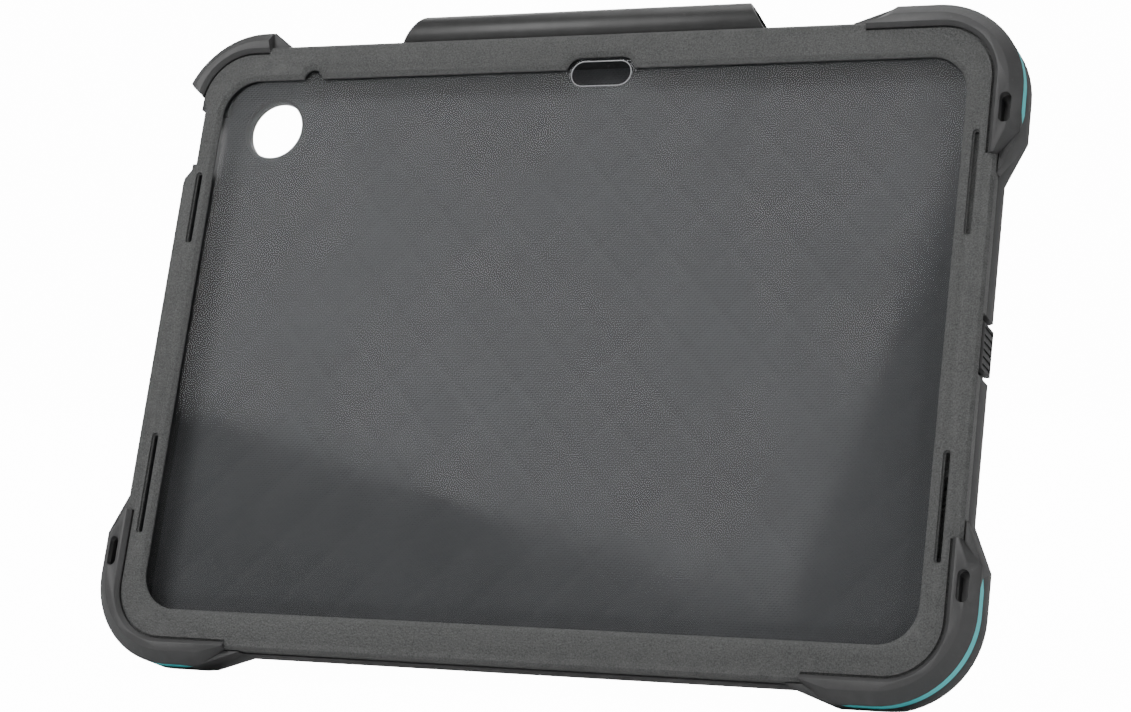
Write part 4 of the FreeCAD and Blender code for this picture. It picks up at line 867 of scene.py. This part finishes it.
# --- lining ---------------------------------------------------------------------------------
@dataclass
class Lining:
    """Soft lining on the tray's floor, pressed into a diamond quilt."""

    cell: float = 1.5 * MM
    quilt: float = 21.0 * MM
    seam_width: float = 0.9 * MM
    seam_depth: float = 0.45 * MM
    border: float = 7.0 * MM
    corner_radius: float = 12.0 * MM
    hole_margin: float = 1.0 * MM
    thickness: float = 0.3 * MM
    guard_wall: float = 2.1 * MM
    top_gap: float = 0.02 * MM

    def _depth(self, x: float, y: float, half: Vector) -> float:
        """How far the cloth is pressed in at a point."""
        inset = min(half.x - abs(x), half.y - abs(y))
        lines = [abs(inset - self.border)]
        if inset > self.border:
            for diagonal in (x + y, x - y):
                turns = diagonal / self.quilt
                lines.append(abs(turns - round(turns)) * self.quilt / math.sqrt(2))
        nearest = min(lines)
        puff = 0.25 * (1 - math.exp(-nearest / (3 * self.seam_width)))
        return self.seam_depth * (math.exp(-((nearest / self.seam_width) ** 2)) - puff + 0.25)

    def build(self) -> None:
        """Builds the lining and lays it on the shell's floor."""
        low, high = AXES.extent("shell_liner")
        guard_low, guard_high = AXES.extent("camera_guard")
        hole = (guard_low + guard_high) / 2
        hole_radius = (guard_high.x - guard_low.x) / 2 - self.guard_wall + self.hole_margin
        half = (high - low) / 2
        middle = (high + low) / 2
        columns = round(2 * half.x / self.cell)
        rows = round(2 * half.y / self.cell)
        shape = bmesh.new()
        grid: dict[tuple[int, int], bmesh.types.BMVert] = {}
        straight_x, straight_y = half.x - self.corner_radius, half.y - self.corner_radius
        for i in range(columns + 1):
            for j in range(rows + 1):
                x = -half.x + 2 * half.x * i / columns
                y = -half.y + 2 * half.y * j / rows
                corner = Vector((max(abs(x) - straight_x, 0), max(abs(y) - straight_y, 0)))
                if corner.x > 0 and corner.y > 0:
                    reach = max(corner.x, corner.y)
                    corner = corner.normalized() * reach
                    x = math.copysign(straight_x + corner.x, x)
                    y = math.copysign(straight_y + corner.y, y)
                away = Vector((middle.x + x - hole.x, middle.y + y - hole.y))
                if abs(away.length - hole_radius) < 0.8 * self.cell:
                    away = away.normalized() * hole_radius
                    x, y = hole.x + away.x - middle.x, hole.y + away.y - middle.y
                z = high.z - self.top_gap - self._depth(x, y, half)
                grid[i, j] = shape.verts.new((middle.x + x, middle.y + y, z))
        for i in range(columns):
            for j in range(rows):
                corners = [grid[i, j], grid[i + 1, j], grid[i + 1, j + 1], grid[i, j + 1]]
                centre = sum((v.co for v in corners), Vector()) / 4
                if (centre.xy - hole.xy).length > hole_radius:
                    shape.faces.new(corners)
        loose = [v for v in shape.verts if not v.link_faces]
        bmesh.ops.delete(shape, geom=loose, context="VERTS")
        piece = from_bmesh("tray_lining", shape)
        solid = piece.modifiers.new("cloth_thickness", "SOLIDIFY")
        solid.thickness = self.thickness
        solid.offset = -1.0
        applied(piece)
        smooth(piece.data, 60)
        dress(piece, "liner_cloth")
        place(piece, Body.BACK, "liner_cloth", "shell_liner")


# --- hand strap -----------------------------------------------------------------------------
@dataclass
class HandStrap:
    """Webbing strap over the hand, with its foam pad, stitches and screws."""

    base_half: float = 41.0 * MM
    crown_half: float = 31.0 * MM
    crown_radius: float = 14.0 * MM
    base_radius: float = 3.5 * MM
    thickness: float = 2.2 * MM
    stitch_inset: float = 2.4 * MM
    stitch_pitch: float = 3.2 * MM
    stitch_length: float = 2.3 * MM
    stitch_thickness: float = 0.55 * MM
    stitch_lift: float = 0.05 * MM
    screw_radius: float = 2.4 * MM
    screw_height: float = 1.2 * MM
    socket_radius: float = 1.15 * MM
    pad_sides: int = 44
    channel_place: float = 0.42
    channel_width: float = 0.06
    channel_depth: float = 0.35

    def _route(self, inset: float) -> list[Vector]:
        """The strap's line at a depth of its thickness, from one tab to the other."""
        low, high = AXES.extent("hand_strap")
        tab = high.z - inset
        crown = low.z + self.thickness - inset
        slope = (self.base_half - self.crown_half) / (high.z - low.z)
        base = self.base_half - self.thickness + inset * (1 - slope)
        top = self.crown_half - self.thickness + inset
        return rounded_path(
            [
                (low.x, tab, 0.0),
                (-base, tab, self.base_radius),
                (-top, crown, self.crown_radius),
                (top, crown, self.crown_radius),
                (base, tab, self.base_radius),
                (high.x, tab, 0.0),
            ],
            2.0 * MM,
        )

    @staticmethod
    def _sweep(name: str, route: list[Vector], section: list[tuple[float, float]],
               middle_y: float, swell: list[float] | None = None) -> bpy.types.Object:
        """Sweeps a flat section along a line in X and Z and closes its ends."""
        shape = bmesh.new()
        rings = []
        for index, point in enumerate(route):
            ahead = route[min(index + 1, len(route) - 1)] - route[max(index - 1, 0)]
            through = Vector((-ahead.z, 0.0, ahead.x)).normalized()
            scale = swell[index] if swell else 1.0
            rings.append([
                shape.verts.new(point + Vector((0, middle_y + across, 0)) + through * deep * scale)
                for across, deep in section
            ])
        count = len(section)
        for first, second in zip(rings, rings[1:]):
            for i in range(count):
                j = (i + 1) % count
                shape.faces.new((first[i], first[j], second[j], second[i]))
        shape.faces.new(rings[0])
        shape.faces.new(list(reversed(rings[-1])))
        return from_bmesh(name, shape)

    def _webbing(self) -> None:
        """The strap itself."""
        low, high = AXES.extent("hand_strap")
        section = strip((high.y - low.y) / 2, self.thickness / 2, 40)
        route = self._route(self.thickness / 2)
        strap = self._sweep("hand_strap_webbing", route, section, (high.y + low.y) / 2)
        smooth(strap.data, 40)
        dress(strap, "strap_webbing")
        place(strap, Body.SWIVEL, "strap_webbing", "hand_strap")

    def _pad(self) -> None:
        """The foam pad under the crown: full in the middle and pinched at its edges."""
        low, high = AXES.extent("strap_pad")
        half = (high - low) / 2
        middle = (high + low) / 2
        shape = bmesh.new()
        count = self.pad_sides
        sheets: dict[int, dict[tuple[int, int], bmesh.types.BMVert]] = {1: {}, -1: {}}
        for side in (1, -1):
            for i in range(count + 1):
                for j in range(count + 1):
                    u, v = -1 + 2 * i / count, -1 + 2 * j / count
                    edge = (1 - abs(u) ** 5) * (1 - abs(v) ** 5)
                    off = (abs(v) - self.channel_place) / self.channel_width
                    channel = 1 - self.channel_depth * math.exp(-(off ** 2))
                    full = 0.12 + 0.88 * max(edge, 0.0) ** 0.45 * channel
                    x = u * half.x * (1 - 0.04 * v ** 4)
                    y = v * half.y * (1 - 0.04 * u ** 4)
                    rim = abs(u) > 0.999 or abs(v) > 0.999
                    z = 0.0 if rim else side * half.z * full * 0.97
                    key = (i, j)
                    if rim and side < 0:
                        sheets[side][key] = sheets[1][key]
                    else:
                        sheets[side][key] = shape.verts.new((x, y, z))
        for side in (1, -1):
            grid = sheets[side]
            for i in range(count):
                for j in range(count):
                    ring = [grid[i, j], grid[i + 1, j], grid[i + 1, j + 1], grid[i, j + 1]]
                    shape.faces.new(ring if side > 0 else list(reversed(ring)))
        bmesh.ops.translate(shape, verts=shape.verts, vec=middle)
        pad = from_bmesh("hand_pad", shape)
        smooth(pad.data, 70)
        dress(pad, "strap_foam")
        place(pad, Body.SWIVEL, "strap_foam", "strap_pad")

    def _stitching(self) -> None:
        """Two rows of stitches along the outside of the strap."""
        low, high = AXES.extent("hand_strap")
        outside = self._route(self.thickness + self.stitch_lift)
        sides = (("lower", low.y + self.stitch_inset), ("upper", high.y - self.stitch_inset))
        for name, y in sides:
            row = points_object(f"strap_stitches_{name}", [(p.x, y, p.z) for p in outside], True)
            REPEATS.run(row, REPEATS.stitches, Pitch=self.stitch_pitch,
                        Length=self.stitch_length, Thickness=self.stitch_thickness,
                        Material=MATERIALS["strap_thread"])
            place(row, Body.SWIVEL, "strap_webbing")

    def _screws(self) -> None:
        """Screw heads on the two clamps."""
        low, high = AXES.extent("strap_screws")
        radius = self.screw_radius
        z = low.z + self.screw_height / 2
        spots = [(x, y, z) for x in (low.x + radius, high.x - radius)
                 for y in (low.y + radius, high.y - radius)]
        heads = points_object("clamp_screw_heads", spots)
        turn = (AXES.matrix().to_3x3() @ Matrix.Rotation(math.pi, 3, "X")).to_euler()
        REPEATS.run(heads, REPEATS.screws, Radius=radius, Height=self.screw_height,
                    Socket=self.socket_radius, Turn=tuple(turn),
                    Material=MATERIALS["screw_steel"])
        place(heads, Body.SWIVEL, "screw_steel", "strap_screws")

    def build(self) -> None:
        """Builds the strap and what holds it."""
        self._webbing()
        self._pad()
        self._stitching()
        self._screws()


# --- grip studs on the back -----------------------------------------------------------------
@dataclass
class GripStuds:
    """Rows of low studs on the back shell, on both sides of the swivel."""

    pitch: float = 6.0 * MM
    radius: float = 1.3 * MM
    height: float = 0.35 * MM
    inner: float = 72.0 * MM
    outer: float = 112.0 * MM
    half_height: float = 50.0 * MM
    sleeve_rim: float = 1.2 * MM

    def build(self) -> None:
        """Builds the two fields of studs."""
        low, _ = AXES.extent("shock_sleeve")
        shell_back = low.z + self.sleeve_rim
        row_step = self.pitch * math.sqrt(3) / 2
        rows = int(self.half_height / row_step)
        columns = int((self.outer - self.inner) / self.pitch)
        turn = tuple(AXES.matrix().to_3x3().to_euler())
        for name, side in (("left", -1), ("right", 1)):
            spots = []
            for row in range(-rows, rows + 1):
                for column in range(columns + 1):
                    x = self.inner + (column + 0.5 * (row % 2)) * self.pitch
                    y = row * row_step
                    if abs(y) + (x - self.inner) * 0.6 < self.half_height:
                        spots.append((side * x, y, shell_back))
            studs = points_object(f"grip_studs_{name}", spots)
            REPEATS.run(studs, REPEATS.studs, Radius=self.radius, Height=self.height, Turn=turn,
                        Material=MATERIALS["shell_plastic"])
            place(studs, Body.BACK, "shell_plastic")


# --- studio ---------------------------------------------------------------------------------
@dataclass
class Studio:
    """Pale all-round backdrop, soft lights and the camera."""

    floor_radius: float = 2.0
    sweep_radius: float = 0.9
    wall_height: float = 2.6
    glow: float = 14.0
    lens: float = 88.73
    eye: Vector = field(default_factory=lambda: Vector((0.33240, -0.22273, 0.71604)))
    forward: Vector = field(default_factory=lambda: Vector((-0.39805, 0.26748, -0.87750)))
    up: Vector = field(default_factory=lambda: Vector((-0.00774, 0.95553, 0.29478)))

    def _backdrop(self) -> None:
        """Floor that curves up into a wall all round."""
        profile = [(0.0, 0.0), (self.floor_radius, 0.0)]
        for step in range(1, 13):
            turn = math.pi / 2 * step / 12
            profile.append((self.floor_radius + self.sweep_radius * math.sin(turn),
                            self.sweep_radius * (1 - math.cos(turn))))
        profile.append((self.floor_radius + self.sweep_radius, self.wall_height))
        shape = bmesh.new()
        verts = [shape.verts.new((r, 0.0, z)) for r, z in profile]
        edges = [shape.edges.new(pair) for pair in zip(verts, verts[1:])]
        bmesh.ops.spin(shape, geom=verts + edges, cent=(0, 0, 0), axis=(0, 0, 1),
                       angle=2 * math.pi, steps=96, use_merge=True)
        bmesh.ops.remove_doubles(shape, verts=shape.verts, dist=1e-5)
        backdrop = from_bmesh("backdrop", shape, in_case=False)
        smooth(backdrop.data, 60)
        material, build, principled, _ = shaded("backdrop_paper")
        principled.inputs["Base Color"].default_value = (0.86, 0.86, 0.86, 1.0)
        principled.inputs["Roughness"].default_value = 0.9
        seen = build.node("ShaderNodeLightPath").outputs["Is Camera Ray"]
        principled.inputs["Emission Color"].default_value = (1.0, 1.0, 1.0, 1.0)
        build.feed(principled.inputs["Emission Strength"],
                   build.math("MULTIPLY", seen, self.glow))
        backdrop.data.materials.append(material)

    @staticmethod
    def _light(name: str, at: tuple[float, float, float], size: tuple[float, float],
               power: float) -> None:
        """Adds a soft rectangular light that faces the case."""
        data = bpy.data.lights.new(name, "AREA")
        data.shape = "RECTANGLE"
        data.size, data.size_y = size
        data.energy = power
        light = bpy.data.objects.new(name, data)
        bpy.context.scene.collection.objects.link(light)
        light.location = at
        aim = Vector((0.0, 0.0, 0.09)) - Vector(at)
        light.rotation_euler = aim.to_track_quat("-Z", "Y").to_euler()

    def _camera(self) -> None:
        """Camera slightly to the right of the case, level with its middle."""
        data = bpy.data.cameras.new("camera")
        data.lens = self.lens
        data.clip_start, data.clip_end = 0.05, 20.0
        camera = bpy.data.objects.new("camera", data)
        bpy.context.scene.collection.objects.link(camera)
        turn = AXES.matrix().to_3x3()
        back = -(turn @ self.forward).normalized()
        up = (turn @ self.up).normalized()
        right = up.cross(back).normalized()
        up = back.cross(right)
        pose = Matrix((right, up, back)).transposed().to_4x4()
        camera.matrix_world = Matrix.Translation(AXES.matrix() @ self.eye) @ pose
        bpy.context.scene.camera = camera

    def build(self) -> None:
        """Sets up the whole studio."""
        self._backdrop()
        self._light("key", (-0.9, -1.3, 1.5), (1.1, 1.1), 22.0)
        self._light("fill", (1.4, -1.2, 0.5), (1.2, 1.4), 6.0)
        self._light("top", (0.1, 0.35, 1.7), (1.6, 0.9), 9.0)
        self._light("rear", (-0.6, 1.6, 0.9), (1.4, 1.2), 9.0)
        world = bpy.data.worlds.new("studio")
        world.use_nodes = True
        background = next(n for n in world.node_tree.nodes if n.type == "BACKGROUND")
        background.inputs["Color"].default_value = (1.0, 1.0, 1.0, 1.0)
        background.inputs["Strength"].default_value = 0.2
        bpy.context.scene.world = world
        self._camera()


def main() -> None:
    """Builds every sub-assembly in order."""
    logging.basicConfig(level=logging.INFO, format="%(name)s: %(message)s")
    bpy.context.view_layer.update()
    Studio().build()
    for assembly in (MouldedParts(), FilmEdge(), Lining(), HandStrap(), GripStuds()):
        assembly.build()
        LOG.info("%s is finished", type(assembly).__name__)


if __name__ == "__main__":
    main()
